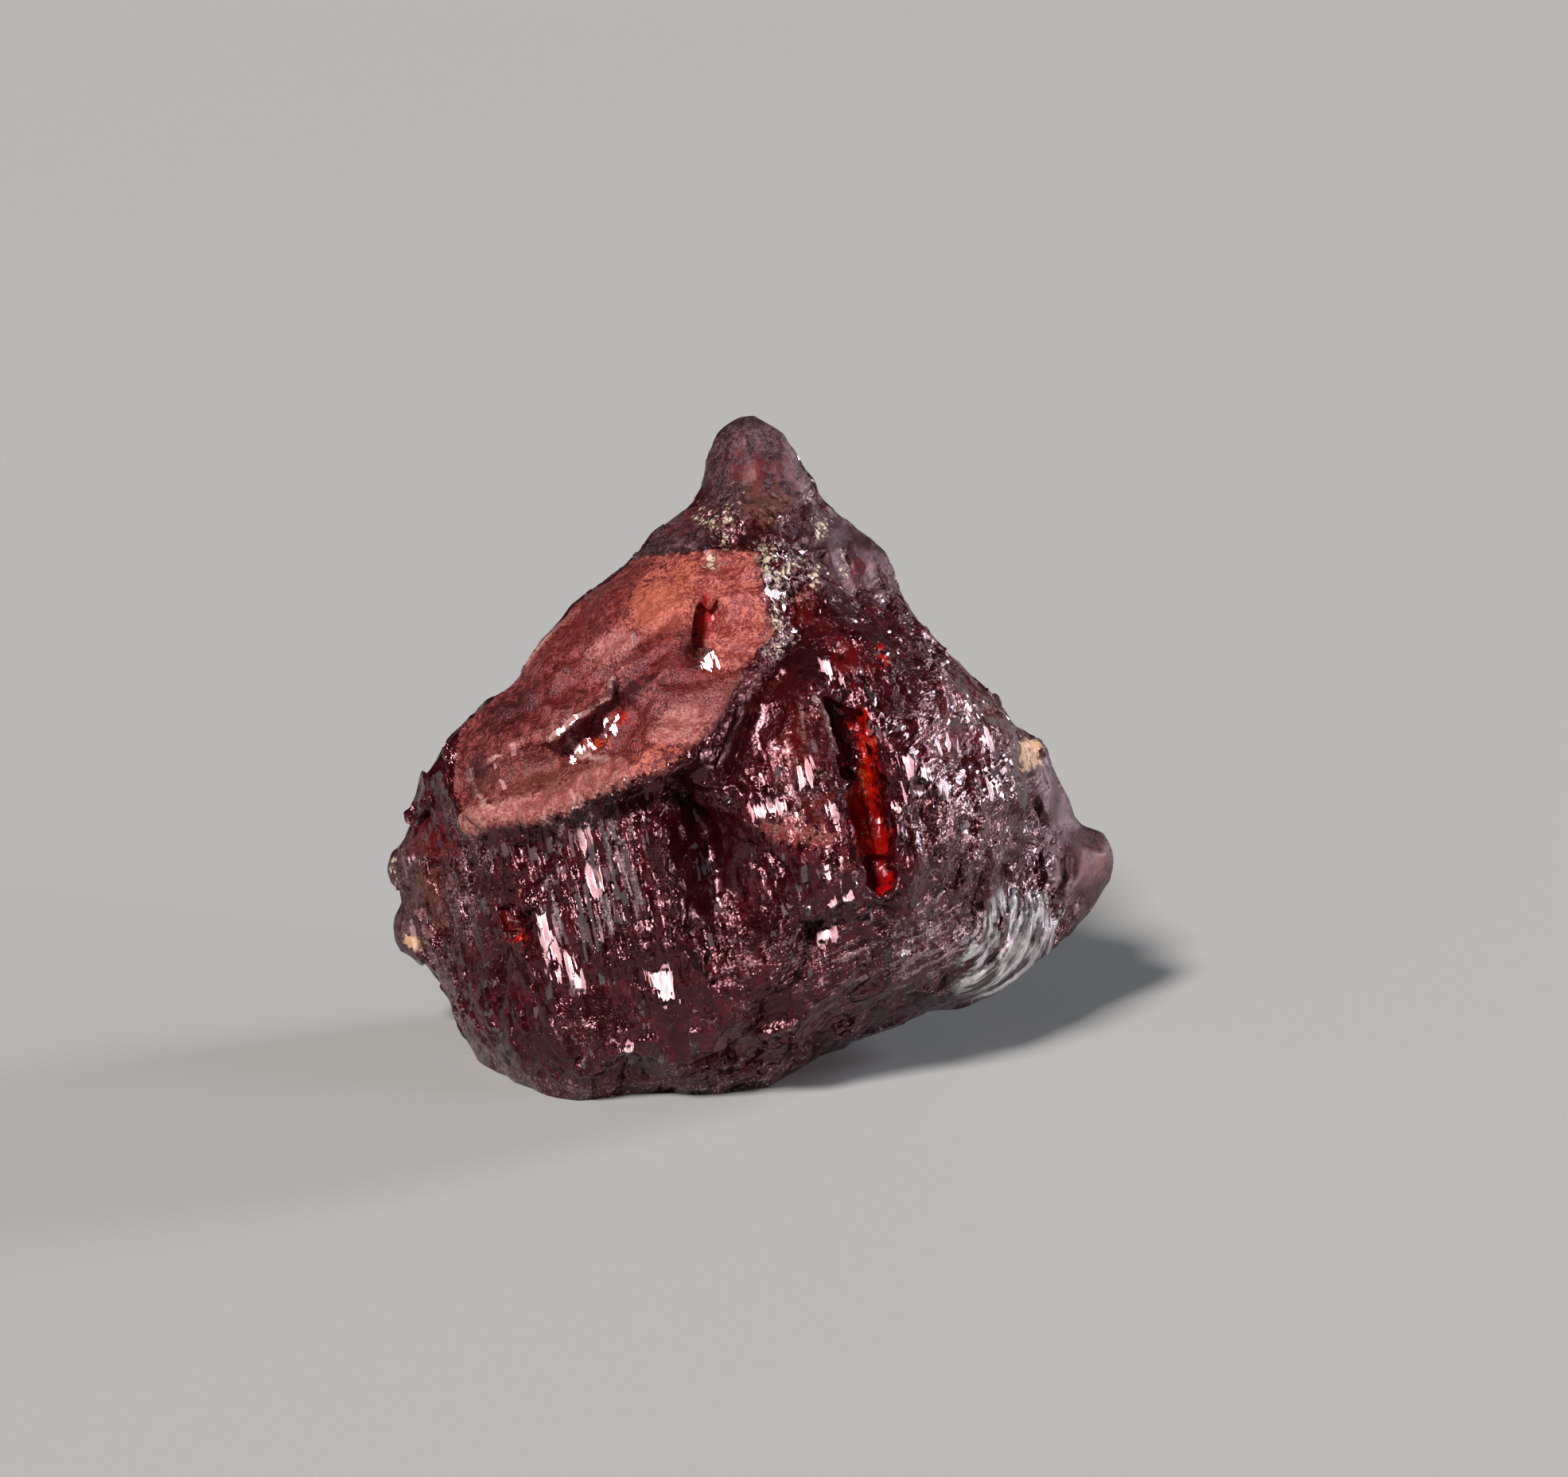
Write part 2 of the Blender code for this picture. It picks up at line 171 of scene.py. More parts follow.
def turned(flat, x, z, turn):
    """Places from a middle, along axes that are turned to the left by degrees."""
    angle = math.radians(turn)
    turn_back = np.array([(math.cos(angle), -math.sin(angle)), (math.sin(angle), math.cos(angle))])
    return (flat - (x, z)) @ turn_back


FRACTURE = area(
    (-2.6, 6.7), (-0.8, 6.85), (0.5, 6.8), (0.7, 5.7), (0.95, 4.6), (0.4, 3.9), (-0.1, 3.05), (-0.6, 2.0),
    (-1.3, 1.4), (-2.1, 0.95), (-3.05, 0.75), (-4.0, 0.35), (-4.9, -0.1), (-6.0, -0.4), (-7.1, -0.5),
    (-7.7, 0.4), (-7.6, 1.9), (-6.9, 3.2), (-5.7, 4.9), (-4.2, 6.4),
)
SALMON = area(
    (-2.75, 5.9), (-2.1, 6.7), (-0.8, 6.85), (0.5, 6.8), (0.7, 5.7), (0.95, 4.6), (0.4, 3.9), (-0.3, 3.4),
    (-0.9, 3.7), (-1.2, 4.5), (-2.0, 4.5), (-2.9, 4.9),
)

# Marks that are raised or sunk too, or that keep the etching quiet
PALE_OVAL = oval(-2.15, 5.3, 0.85, 0.78, 20)
LOWER_LIP = line(0.42, (-7.0, -0.4), (-6.0, -0.15), (-5.0, 0.05), (-3.9, 0.6), (-3.1, 0.95))
UPPER_RIM = line(0.07, (-6.0, 3.65), (-5.25, 4.6), (-4.5, 5.3))
CURVED_RIDGE = line(0.09, (-3.3, 3.35), (-3.35, 2.85), (-3.85, 2.5), (-4.3, 2.3), (-4.95, 1.75))
LEFT_RIDGE = line(0.12, (-6.95, 1.0), (-6.3, 1.4), (-5.6, 1.75))
HOLLOW = oval(-3.2, 2.1, 0.75, 0.75)
SLOT = area(
    (2.75, 2.6), (3.3, 2.5), (3.6, 1.6), (3.6, 0.9), (3.65, 0.1), (3.95, -0.6), (3.9, -1.3), (4.0, -2.0),
    (3.75, -2.3), (3.4, -1.9), (3.25, -1.1), (2.95, -0.2), (2.9, 0.3), (3.15, 0.7), (3.2, 1.2),
    (3.0, 1.9),
)
SLOT_RIM = line(
    0.12, (1.65, 2.7), (1.9, 2.8), (2.2, 2.75), (2.35, 2.2), (2.5, 1.5), (2.7, 0.9), (2.75, 0.4),
)
SLOT_SHADE = area(
    (2.2, 2.85), (2.7, 2.7), (3.0, 2.2), (3.2, 1.4), (3.1, 0.9), (2.8, 0.4), (2.65, 0.9), (2.5, 1.6),
)
SLOT_END = oval(3.7, -1.75, 0.36, 0.5, 15)
WINDOW = block(-5.95, -3.05, 0.24, 0.42)
WINDOW_SHADE = block(-5.45, -3.35, 0.26, 0.6)
VALLEY = area(
    (0.8, 3.9), (2.0, 5.0), (2.3, 3.5), (1.6, 2.9), (1.2, 1.8), (0.2, 1.1), (-0.6, 0.3), (-1.5, 0.1),
    (-1.9, 0.75), (-0.7, 1.7), (0.0, 3.0),
)
VALLEY_FOOT = area(
    (-1.8, 0.55), (-0.6, 0.2), (0.2, -0.45), (0.6, -1.1), (0.0, -2.1), (-0.7, -3.0), (-1.5, -3.2),
    (-1.9, -2.0), (-2.05, -0.6),
)
HORN_CREASE = oval(-1.0, 8.5, 0.5, 0.22, 35)
SHOULDER_PIT = oval(1.4, 7.45, 0.3, 0.4, -20)
SHOULDER_CREASE = oval(1.9, 7.0, 0.3, 0.12)
WING_CREASE = line(0.1, (7.87, 0.7), (8.0, 0.2), (8.35, -0.5))
WING_SPOTS = [block(7.74, 1.3, 0.14, 0.4, 5), block(8.05, 1.5, 0.16, 0.26, 5)]
LEDGE_EDGE = line(0.09, (-9.45, -1.3), (-9.55, -1.8), (-9.45, -2.25))

# The fracture face's brightest patches, its paler lips and ridges, and their palest edges and the rim beside
# the slot, pale and brightened as painted highlight
BRIGHT = [PALE_OVAL, oval(-2.1, 1.33, 0.5, 0.27, 15), line(0.12, (-1.5, 6.3), (-1.9, 5.6))]
PINK = [
    oval(-1.5, 2.15, 0.9, 0.48, 25), LOWER_LIP, UPPER_RIM, CURVED_RIDGE, LEFT_RIDGE,
    oval(-3.4, 4.25, 0.7, 0.4, 25), oval(1.5, -0.65, 0.85, 0.26, -12),
]
LIP_HIGHLIGHT = [
    CURVED_RIDGE, line(0.08, (-4.5, 1.85), (-4.2, 1.35), (-3.4, 1.25)),
    line(0.05, (-6.95, 1.0), (-6.4, 1.35)), line(0.05, (-6.3, 3.3), (-5.6, 4.2), (-4.9, 5.0)),
    line(0.06, (-7.2, 0.9), (-7.0, 0.3), (-6.5, -0.1)),
    line(0.05, (1.95, 2.8), (2.2, 2.75), (2.35, 2.2), (2.5, 1.5)),
    line(0.05, (1.65, 2.65), (1.72, 2.1), (1.8, 1.6)),
]
BROWN = [
    oval(-5.4, 0.75, 1.15, 0.38, 5), oval(-8.3, -2.3, 0.42, 0.7), oval(0.7, 8.1, 0.65, 0.6),
    oval(9.75, -1.55, 0.3, 0.35), oval(0.1, 3.1, 0.45, 0.3, 20), oval(7.0, 2.2, 0.3, 0.7, 30),
]

# Clear red places: dark red ones; and painted glow, standing in for light from inside the crystal, in the
# slot and slits, their bright middles and warm spots
RED = [
    WINDOW, HOLLOW, oval(3.15, 6.3, 0.25, 0.3), oval(-1.3, 8.0, 0.5, 0.3, 30), oval(0.6, 9.15, 0.5, 0.25),
    oval(5.9, 2.9, 0.4, 0.4), oval(1.9, 5.0, 0.5, 0.8, 20), oval(-2.0, 3.9, 0.4, 0.6, 15),
    oval(-1.2, 2.9, 0.6, 0.3, -30), oval(-4.2, 5.0, 1.2, 0.4, 42),
    line(0.45, (-1.7, 4.3), (-1.5, 3.6), (-1.3, 3.1)), oval(-5.4, 2.9, 1.2, 0.5, 35),
    oval(1.0, 3.0, 0.9, 0.9), oval(1.3, 1.7, 1.2, 0.8), oval(2.9, 3.9, 0.5, 0.5),
    oval(5.6, 1.6, 0.7, 0.5), oval(-8.3, -1.0, 0.5, 0.4), oval(1.5, -0.75, 0.9, 0.22, -14),
    oval(2.2, -0.2, 0.4, 0.4),
]
PAINTED_GLOW = [
    SLOT, line(0.15, (-0.85, 5.45), (-0.92, 4.4)), oval(-5.72, -3.5, 0.11, 0.14),
    line(0.04, (3.75, 4.2), (3.85, 3.75)),
]
EMBER_GLOW = [
    line(0.2, (3.3, 0.45), (3.4, -0.2), (3.5, -0.9)), oval(-5.72, -3.5, 0.09, 0.11),
    line(0.05, (-0.85, 5.3), (-0.9, 4.7)), oval(3.05, 2.45, 0.13, 0.13), oval(-3.0, 2.3, 0.2, 0.14),
]
FIRE_GLOW = [
    oval(3.2, 0.2, 0.1, 0.16), oval(3.07, 2.5, 0.08, 0.1), oval(3.3, 0.75, 0.06, 0.14),
    oval(3.35, -0.75, 0.1, 0.2), oval(-3.65, 1.7, 0.22, 0.1), oval(-2.8, 2.25, 0.08, 0.08),
    line(0.05, (3.35, 1.75), (3.3, 1.2)),
]

# Specks and spots of other colours
ORANGE = WING_SPOTS + [line(0.08, (7.7, 1.05), (8.2, 1.15)), oval(-8.8, -3.75, 0.28, 0.16, -20)]
CREAM = [
    oval(0.75, 6.65, 0.3, 0.28), line(0.13, (0.8, 6.1), (1.3, 6.15)), block(1.25, 5.6, 0.12, 0.18),
    oval(1.95, 6.2, 0.13, 0.25), oval(2.8, 6.5, 0.12, 0.2), oval(0.95, 4.9, 0.15, 0.2),
    oval(0.98, 4.15, 0.13, 0.13), oval(1.25, 4.4, 0.1, 0.06), oval(1.45, 6.5, 0.1, 0.08),
    oval(-0.75, 6.5, 0.1, 0.13), LEDGE_EDGE, oval(-0.95, 7.8, 0.14, 0.24, 30), oval(-0.4, 7.8, 0.08, 0.3),
    oval(2.2, 7.55, 0.2, 0.2),
]

# Dark places, with painted shade in the valley, below the fracture face, in the slot and window and in the
# creases and pits; smoky ones, deepened as painted shade; clear ones, and ones with more haze
DARK_AND_SHADE = [
    VALLEY, VALLEY_FOOT, SLOT_SHADE, SLOT_END, WINDOW_SHADE, HORN_CREASE, SHOULDER_PIT, SHOULDER_CREASE,
    WING_CREASE, oval(0.75, -3.0, 0.95, 0.5, 10), oval(2.6, 5.3, 0.6, 0.4), block(2.05, 1.85, 0.2, 0.33),
    oval(0.1, 7.2, 0.5, 0.15), line(0.17, (8.45, -0.9), (8.72, -1.4), (8.7, -2.1)),
    line(0.1, (7.2, 2.4), (7.55, -0.3), (7.45, -1.2), (6.95, -2.0)), oval(-6.1, 2.55, 0.9, 0.34, 30),
    oval(-7.0, 0.9, 0.35, 0.5), oval(-2.9, 3.0, 0.7, 0.3, 20), oval(-1.1, 4.0, 0.3, 0.3),
    oval(-6.3, -0.75, 0.4, 0.25), oval(-6.5, -2.2, 0.3, 0.3), oval(-6.2, -4.3, 0.7, 0.35),
    oval(-3.6, -5.6, 0.8, 0.5), oval(-5.0, -6.3, 0.7, 0.4), oval(-2.6, -3.9, 0.8, 0.35, 10),
    oval(-1.6, -5.3, 0.9, 0.3), oval(1.1, -5.2, 0.9, 0.35, 20), oval(5.9, 1.1, 0.4, 0.5),
    oval(4.6, -0.4, 0.35, 0.6), oval(4.3, 3.0, 0.3, 0.7, 20),
]
SMOKY_AND_SHADE = [oval(8.9, -0.5, 1.3, 2.6, 25), oval(9.6, -1.6, 1.1, 1.2), oval(2.9, 7.0, 1.3, 0.9, -40)]
CLEAR = [
    oval(0.3, 9.6, 2.1, 1.9), oval(3.0, 7.1, 1.7, 1.3, -40), oval(-1.7, 7.5, 1.2, 0.8, 40),
    oval(8.8, 0.2, 0.9, 2.4, 25), oval(9.5, -1.6, 1.1, 1.3, -20), oval(-9.2, -1.7, 0.7, 0.9),
    oval(-9.2, -3.3, 0.7, 0.9),
]
MISTY = [
    line(
        0.55, (-8.6, -3.9), (-7.7, -6.1), (-6.2, -7.6), (-4.0, -8.0), (-1.0, -7.6), (1.5, -7.4),
        (3.5, -6.4),
    ),
    oval(6.1, -0.9, 1.3, 1.4, 20), oval(5.2, -3.5, 1.6, 0.8, 25), oval(-7.3, -1.9, 0.8, 1.6),
    oval(2.0, 1.2, 1.0, 1.4, 10), oval(5.6, 3.4, 0.5, 1.3, 35), oval(6.9, -4.9, 1.9, 0.6, 22),
]
# Painted highlight on the silky ridges
SILVER_HIGHLIGHT = [  # the brightest of the silky ridges
    line(0.07, (7.1, -2.65), (6.5, -3.4), (5.95, -4.1)),
    line(0.07, (7.36, -2.5), (7.3, -3.2), (7.1, -3.75), (6.6, -4.3)),
    line(0.07, (7.75, -2.5), (7.7, -3.3), (7.2, -4.15)),
    line(0.08, (8.0, -2.45), (8.1, -3.2), (7.65, -4.05)), oval(7.45, -4.2, 0.75, 0.33, 38),
    oval(6.5, -4.85, 1.0, 0.42, 16), oval(8.35, -2.5, 0.4, 0.14),
    line(0.06, (9.0, -2.5), (8.8, -3.0), (8.5, -3.4)), oval(6.85, -3.6, 0.25, 0.4, 20),
    line(0.07, (5.3, -3.7), (5.15, -4.3)),
]

# Small mirror flats: middle across and up, half their width and half their height
GLINTS = [
    (-3.75, -1.95, 0.22, 0.32), (-3.92, -0.85, 0.12, 0.22), (-3.25, -0.35, 0.1, 0.32),
    (-5.25, -1.4, 0.09, 0.55), (-4.93, -1.35, 0.07, 0.65), (-4.6, -1.5, 0.06, 0.45),
    (-4.2, -0.25, 0.11, 0.18), (-3.4, -1.6, 0.07, 0.55), (-3.0, -1.4, 0.06, 0.5),
    (-5.0, -3.4, 0.13, 0.62), (-4.28, -4.3, 0.14, 0.5), (-4.75, -4.4, 0.12, 0.13),
    (-1.95, -4.65, 0.26, 0.42), (-6.75, -4.5, 0.08, 0.2), (-6.45, -6.0, 0.07, 0.5),
    (-3.98, -6.4, 0.08, 0.4), (-2.85, -6.4, 0.16, 0.14), (-4.5, -6.0, 0.07, 0.07),
    (-2.55, -5.6, 0.05, 0.26), (-3.25, -3.1, 0.08, 0.1), (-8.82, -1.6, 0.18, 0.22),
    (-8.72, -3.0, 0.12, 0.1), (-8.85, 0.55, 0.1, 0.08), (-8.35, -0.75, 0.12, 0.12),
    (-6.4, -1.2, 0.1, 0.12), (-6.9, -0.6, 0.08, 0.12), (-0.63, 4.75, 0.09, 0.25),
    (-0.85, 4.0, 0.15, 0.36), (-4.1, 1.5, 0.25, 0.24), (-3.65, 1.42, 0.25, 0.08),
    (-4.5, 2.05, 0.18, 0.12), (-3.38, 2.1, 0.17, 0.13), (-2.98, 1.28, 0.08, 0.07),
    (-6.6, 0.85, 0.08, 0.16), (-6.05, 0.5, 0.08, 0.08), (0.85, -0.05, 0.44, 0.13), (1.7, 0.8, 0.18, 0.28),
    (1.2, 0.8, 0.08, 0.17), (1.8, 0.15, 0.12, 0.09), (2.45, -0.1, 0.12, 0.15), (2.4, 3.5, 0.11, 0.33),
    (3.8, 3.9, 0.1, 0.14), (1.5, -1.95, 0.09, 0.36), (2.35, -1.75, 0.09, 0.17), (3.2, -1.85, 0.08, 0.22),
    (2.9, -2.45, 0.14, 0.16), (1.9, -2.75, 0.09, 0.2), (2.27, -3.28, 0.2, 0.18), (2.5, -2.6, 0.12, 0.18),
    (-0.85, -1.6, 0.14, 0.16), (5.6, 2.2, 0.22, 0.1), (6.05, 2.4, 0.1, 0.26), (6.55, 1.75, 0.17, 0.2),
    (5.45, 1.6, 0.2, 0.12), (4.5, 1.05, 0.15, 0.3), (4.9, 0.85, 0.14, 0.22), (4.6, 0.45, 0.22, 0.16),
    (6.4, 1.25, 0.2, 0.1), (6.0, 0.95, 0.1, 0.1), (6.75, 0.45, 0.13, 0.14), (6.95, 0.25, 0.1, 0.1),
    (5.3, 0.45, 0.18, 0.12), (5.9, -0.5, 0.09, 0.1), (4.0, 2.1, 0.2, 0.1), (4.1, 0.0, 0.12, 0.12),
    (4.0, -3.8, 0.16, 0.1), (4.45, -3.6, 0.14, 0.12), (4.95, -4.6, 0.07, 0.2), (0.85, 5.65, 0.16, 0.17),
]
LIVELY = [  # where small glints are many
    oval(5.5, 1.3, 1.7, 1.9), oval(1.7, 0.5, 1.2, 1.2), oval(2.3, -2.4, 1.3, 1.0),
    oval(3.4, 3.2, 0.8, 0.8), oval(-8.9, -2.3, 0.5, 1.2), oval(4.2, -3.9, 1.6, 0.5, 20),
    oval(-5.0, 4.0, 0.9, 0.3, 40),
]
THIN = 0.11  # half-width of a glint that the material's own facets make

# What stands out of the blocks or lies deeper: mark, height, and how far its edge slopes
RELIEF = [
    (FRACTURE, -0.05, 0.05),
    (SALMON, -0.03, 0.04),
    (PALE_OVAL, 0.04, 0.05),
    (line(0.2, (-0.82, 5.5), (-0.92, 4.3)), -0.4, 0.15),  # slit in the fracture face
    (HOLLOW, -0.15, 0.3),
    (LOWER_LIP, 0.12, 0.25),
    (CURVED_RIDGE, 0.18, 0.12),
    (LEFT_RIDGE, 0.1, 0.1),
    (UPPER_RIM, 0.06, 0.1),
    (SLOT, -0.15, 0.15),
    (SLOT_SHADE, -0.35, 0.15),
    (SLOT_END, -0.3, 0.15),
    (SLOT_RIM, 0.18, 0.08),
    (line(0.09, (1.65, 2.7), (1.72, 2.1), (1.8, 1.6)), 0.14, 0.06),  # beside that rim
    (WINDOW, -0.2, 0.1),
    (WINDOW_SHADE, -0.25, 0.1),
    (line(0.06, (8.98, -1.5), (9.0, -2.0), (8.8, -2.4)), 0.08, 0.1),  # edge of the knob
    (SHOULDER_PIT, -0.12, 0.1),
    (SHOULDER_CREASE, -0.2, 0.15),
    (WING_CREASE, -0.15, 0.12),
    (LEDGE_EDGE, 0.05, 0.1),
    (HORN_CREASE, -0.08, 0.12),
    (WING_SPOTS[0], 0.05, 0.08),
    (WING_SPOTS[1], 0.05, 0.08),
]

MARKS = {
    "fracture": [FRACTURE], "salmon": [SALMON], "bright": BRIGHT, "pink": PINK, "lip_highlight": LIP_HIGHLIGHT, "brown": BROWN,
    "red": RED, "painted_glow": PAINTED_GLOW, "ember_glow": EMBER_GLOW, "fire_glow": FIRE_GLOW, "silver_highlight": SILVER_HIGHLIGHT, "orange": ORANGE,
    "cream": CREAM, "dark_and_shade": DARK_AND_SHADE, "clear": CLEAR, "smoky_and_shade": SMOKY_AND_SHADE, "misty": MISTY,
}

# Places by what their surface is like: middle and radii in the front frame
SMOOTH_PLACES = [
    ((0.4, 2.4, 9.4), (2.2, 3.2, 1.9)),  # horn
    ((9.2, 2.6, -1.3), (2.1, 3.0, 2.6)),  # wing and knob
    ((-9.3, 1.4, -1.6), (0.9, 1.6, 0.9)),  # upper left ledge
    ((-9.3, 1.4, -3.5), (0.9, 1.6, 0.9)),  # lower left ledge
    ((-3.6, 7.0, 3.4), (2.6, 2.0, 2.4)),  # broken place on the back
]
SILKY_PLACE = ((7.15, -0.6, -3.75), (2.6, 3.6, 2.0))
SILK_MIDDLE = np.array([5.6, -2.9])  # of the arcs that the silky ridges follow
LINED_PLACE = ((-4.0, -4.6, -1.7), (2.6, 3.0, 3.6))
STREAKED_PLACE = ((3.0, -4.0, -4.0), (5.0, 4.0, 2.2))


# ---- Fine relief ----


def chance(cells, seed):
    """An even random number from 0 to 1 for each whole-number cell."""
    cells = cells.astype(np.int64).astype(np.uint64)
    mixed = cells[:, 0] * np.uint64(0x9E3779B1) + cells[:, 1] * np.uint64(0x85EBCA77)
    mixed = mixed + cells[:, 2] * np.uint64(0xC2B2AE3D) + np.uint64(seed * 0x27D4EB2F)
    mixed = (mixed ^ (mixed >> np.uint64(15))) * np.uint64(0x2C1B3C6D)
    mixed = (mixed ^ (mixed >> np.uint64(13))) * np.uint64(0x297A2D39)
    return ((mixed >> np.uint64(16)) & np.uint64(0xFFFF)).astype(float) / 0xFFFF


def ease(values):
    """0 below 0, 1 above 1 and smooth between them."""
    values = np.clip(values, 0, 1)
    return values * values * (3 - 2 * values)


def noise(points, waves, seed=0):
    """Smooth noise from -1 to 1, with that many waves per mm."""
    places = points * waves
    low = np.floor(places)
    part = ease(places - low)
    total = np.zeros(len(points))
    for corner in range(8):
        offset = np.array([corner & 1, corner >> 1 & 1, corner >> 2 & 1])
        weight = np.prod(np.where(offset == 1, part, 1 - part), axis=1)
        total += weight * chance(low + offset, seed)
    return 2 * total - 1


def within(points, place):
    """1 in the middle of a place, easing to 0 at its edge."""
    middle, radii = place
    away = np.linalg.norm((points - np.array(middle)) / np.array(radii), axis=1)
    return ease(1.8 * (1 - away))


def on_front(points, normals):
    """1 where the surface faces forwards, 0 at the back."""
    return ease(0.4 - 3 * normals[:, 1]) * ease((4.6 - points[:, 1]) / 1.5)


def to_side(normals):
    """Whether each normal is nearer to the side light's flats than to the main light's."""
    return normals @ np.array(SIDE_FACING) > normals @ np.array(FACING)


def nearest_facing(normals):
    """The way of facing, among the flats', that suits each normal."""
    likelier = np.array([0.25, 0.22] + [0.0] * (len(FLATS) - 2))
    return FLATS[np.argmax(normals @ FLATS.T + likelier, axis=1)]


def blocks(points, normals, size, step, tilt, facing_share, seed):
    """Height that makes the surface flat blocks along the lattice, each with its own level and slant."""
    wander = np.stack([noise(points, 0.5, seed + k) for k in range(3)], axis=1)
    along = (points + 0.15 * wander) @ LATTICE.T / np.array(size)
    column = np.floor(along[:, :1])
    along[:, 2:] += STAGGER * column
    cells = np.floor(along)
    keys = (cells - cells.min(axis=0)).astype(np.int64)
    keys = (keys[:, 0] * 4096 + keys[:, 1]) * 4096 + keys[:, 2]
    _, first, member = np.unique(keys, return_index=True, return_inverse=True)
    count = np.bincount(member)
    middles = np.stack([np.bincount(member, points[:, i]) / count for i in range(3)], axis=1)
    slants = np.stack([np.bincount(member, normals[:, i]) / count for i in range(3)], axis=1)
    own = cells[first]
    random = np.stack([2 * chance(own, seed + 10 + k) - 1 for k in range(3)], axis=1)
    lit = (chance(own, seed + 20) < facing_share)[:, None]
    slants = np.where(lit, nearest_facing(slants) + 0.05 * random, slants + tilt * random)
    slants /= np.linalg.norm(slants, axis=1)[:, None]
    level = step * (2 * chance(own, seed + 30) - 1)
    slant = slants[member]
    leaning = np.maximum(np.sum(slant * normals, axis=1), 0.5)
    height = -np.sum((points - middles[member]) * slant, axis=1) / leaning
    reach = 0.24 * min(size)
    return np.clip(height, -reach, reach) + level[member]


def arcs(points):
    """Radius in mm and turn in radians about the middle of the silky ridges, which are arcs."""
    away = points[:, [0, 2]] - SILK_MIDDLE
    radius = np.linalg.norm(away, axis=1) + 0.12 * noise(points, 0.8, 50)
    return radius, np.arctan2(away[:, 0], -away[:, 1])


def silk(points):
    """Height of the sharp curved ridges where the wing joins the body, from 0 to 1."""
    radius, turn = arcs(points)
    part = radius / 0.42 + 0.15 * turn + 0.3 * noise(points, 1.1, 51)
    part -= np.floor(part)
    return np.where(part < 0.65, part / 0.65, (1 - part) / 0.35)


def glint_flats(points, normals, front):
    """Distance inside the nearest small mirror flat, and the height that turns the surface to it."""
    flat = points[:, [0, 2]]
    hidden = np.where(front > 0.5, 0.0, 1e3)
    inside = np.full(len(points), -1.0)
    height = np.zeros(len(points))
    for x, z, across, up in GLINTS:
        if min(across, up) < THIN:
            continue
        middle = points[np.argmin(np.sum((flat - (x, z)) ** 2, axis=1) + hidden)]
        depth = block(x, z, across, up)(flat)
        nearer = depth > inside
        slope = -np.sum((points - middle) * nearest_facing(normals), axis=1)
        inside[nearer] = depth[nearer]
        height[nearer] = slope[nearer]
    return inside - hidden, np.clip(height, -0.4, 0.4)


def sparkle(points, front):
    """1 where the thin glints gather, 0 away from them."""
    flat = points[:, [0, 2]]
    depth = np.full(len(points), -1.0)
    for x, z, across, up in GLINTS:
        if min(across, up) < THIN:
            depth = np.maximum(depth, block(x, z, across + 0.05, up)(flat))
    return ease(1 + depth / 0.12) * front


def etched(points, normals, front, shape):
    """The whole fine relief, as heights along the normals."""
    flat = points[:, [0, 2]]
    fracture = ease(FRACTURE(flat) / 0.1 + 0.5) * front
    smooth = np.max([within(points, place) for place in SMOOTH_PLACES], axis=0)
    silky = within(points, SILKY_PLACE)
    lined = within(points, LINED_PLACE) * front * (1 - fracture)
    streaked = within(points, STREAKED_PLACE) * front * (1 - silky)
    calm_places = (SLOT, VALLEY, VALLEY_FOOT, SLOT_SHADE)
    quiet = np.max([ease(mark(flat) / 0.2 + 0.5) * front for mark in calm_places], axis=0)
    rough = (1 - smooth) * (1 - silky) * (1 - 0.92 * fracture) * (1 - 0.7 * quiet)
    rough *= 0.25 + 0.75 * ease(np.abs(normals[:, 1]) / 0.4)
    patches = ease(0.7 + 1.1 * noise(points, 0.35, 3))

    height = shape.relief * rough * (0.3 + 0.7 * patches) * blocks(
        points, normals, shape.coarse_block, 0.05, 0.1, 0.15, 100
    )
    points = points + normals * height[:, None]
    fine = blocks(points, normals, shape.fine_block, 0.025, 0.1, 0.2, 200)
    height += shape.relief * rough * ease(0.5 + 1.5 * noise(points, 0.8, 4)) * fine

    across = points @ LATTICE[0] / shape.line_spacing + 0.3 * noise(points, 0.8, 5)
    groove = np.abs(2 * (across - np.floor(across)) - 1)
    sharp = ease(0.7 + 1.2 * noise(points @ LATTICE.T * (2, 1, 0.5), 1, 6))
    height += 0.07 * lined * (groove - 0.5) * sharp
    streak = noise(points @ LATTICE.T @ STREAKS, 1, 15)
    height += 0.05 * streaked * streak

    height += 0.13 * silky * (silk(points) - 0.4)
    for mark, rise, slope in RELIEF:
        height += rise * ease(mark(flat) / slope + 0.5) * front
    grains = 0.012 * (fracture + 0.5 * rough) * noise(points, 3.0, 7)
    height += 0.03 * fracture * noise(points, 0.9, 9) + grains
    height += 0.01 * smooth * noise(points, 4.0, 11) + 0.03 * smooth * noise(points, 1.2, 12)

    inside, mirror = glint_flats(points, normals, front)
    leaning = np.sum(normals * nearest_facing(normals), axis=1)
    share = ease(inside / 0.06 + 0.5) * ease(leaning * 3 - 1.5)
    return height + share * (np.clip(mirror / np.maximum(leaning, 0.6), -0.12, 0.12) - 0.3 * height + 0.02)


def as_array(mesh, name):
    """The vertices' co or normal as rows."""
    rows = np.empty(len(mesh.vertices) * 3)
    mesh.vertices.foreach_get(name, rows)
    return rows.reshape(-1, 3)


def in_front_frame(mesh):
    """The vertices' places in mm and their normals, in the front frame."""
    to_front = np.array(TO_FRONT)
    points = as_array(mesh, "co") @ to_front[:3, :3].T + to_front[:3, 3]
    return points, as_array(mesh, "normal") @ (to_front[:3, :3].T * MM)


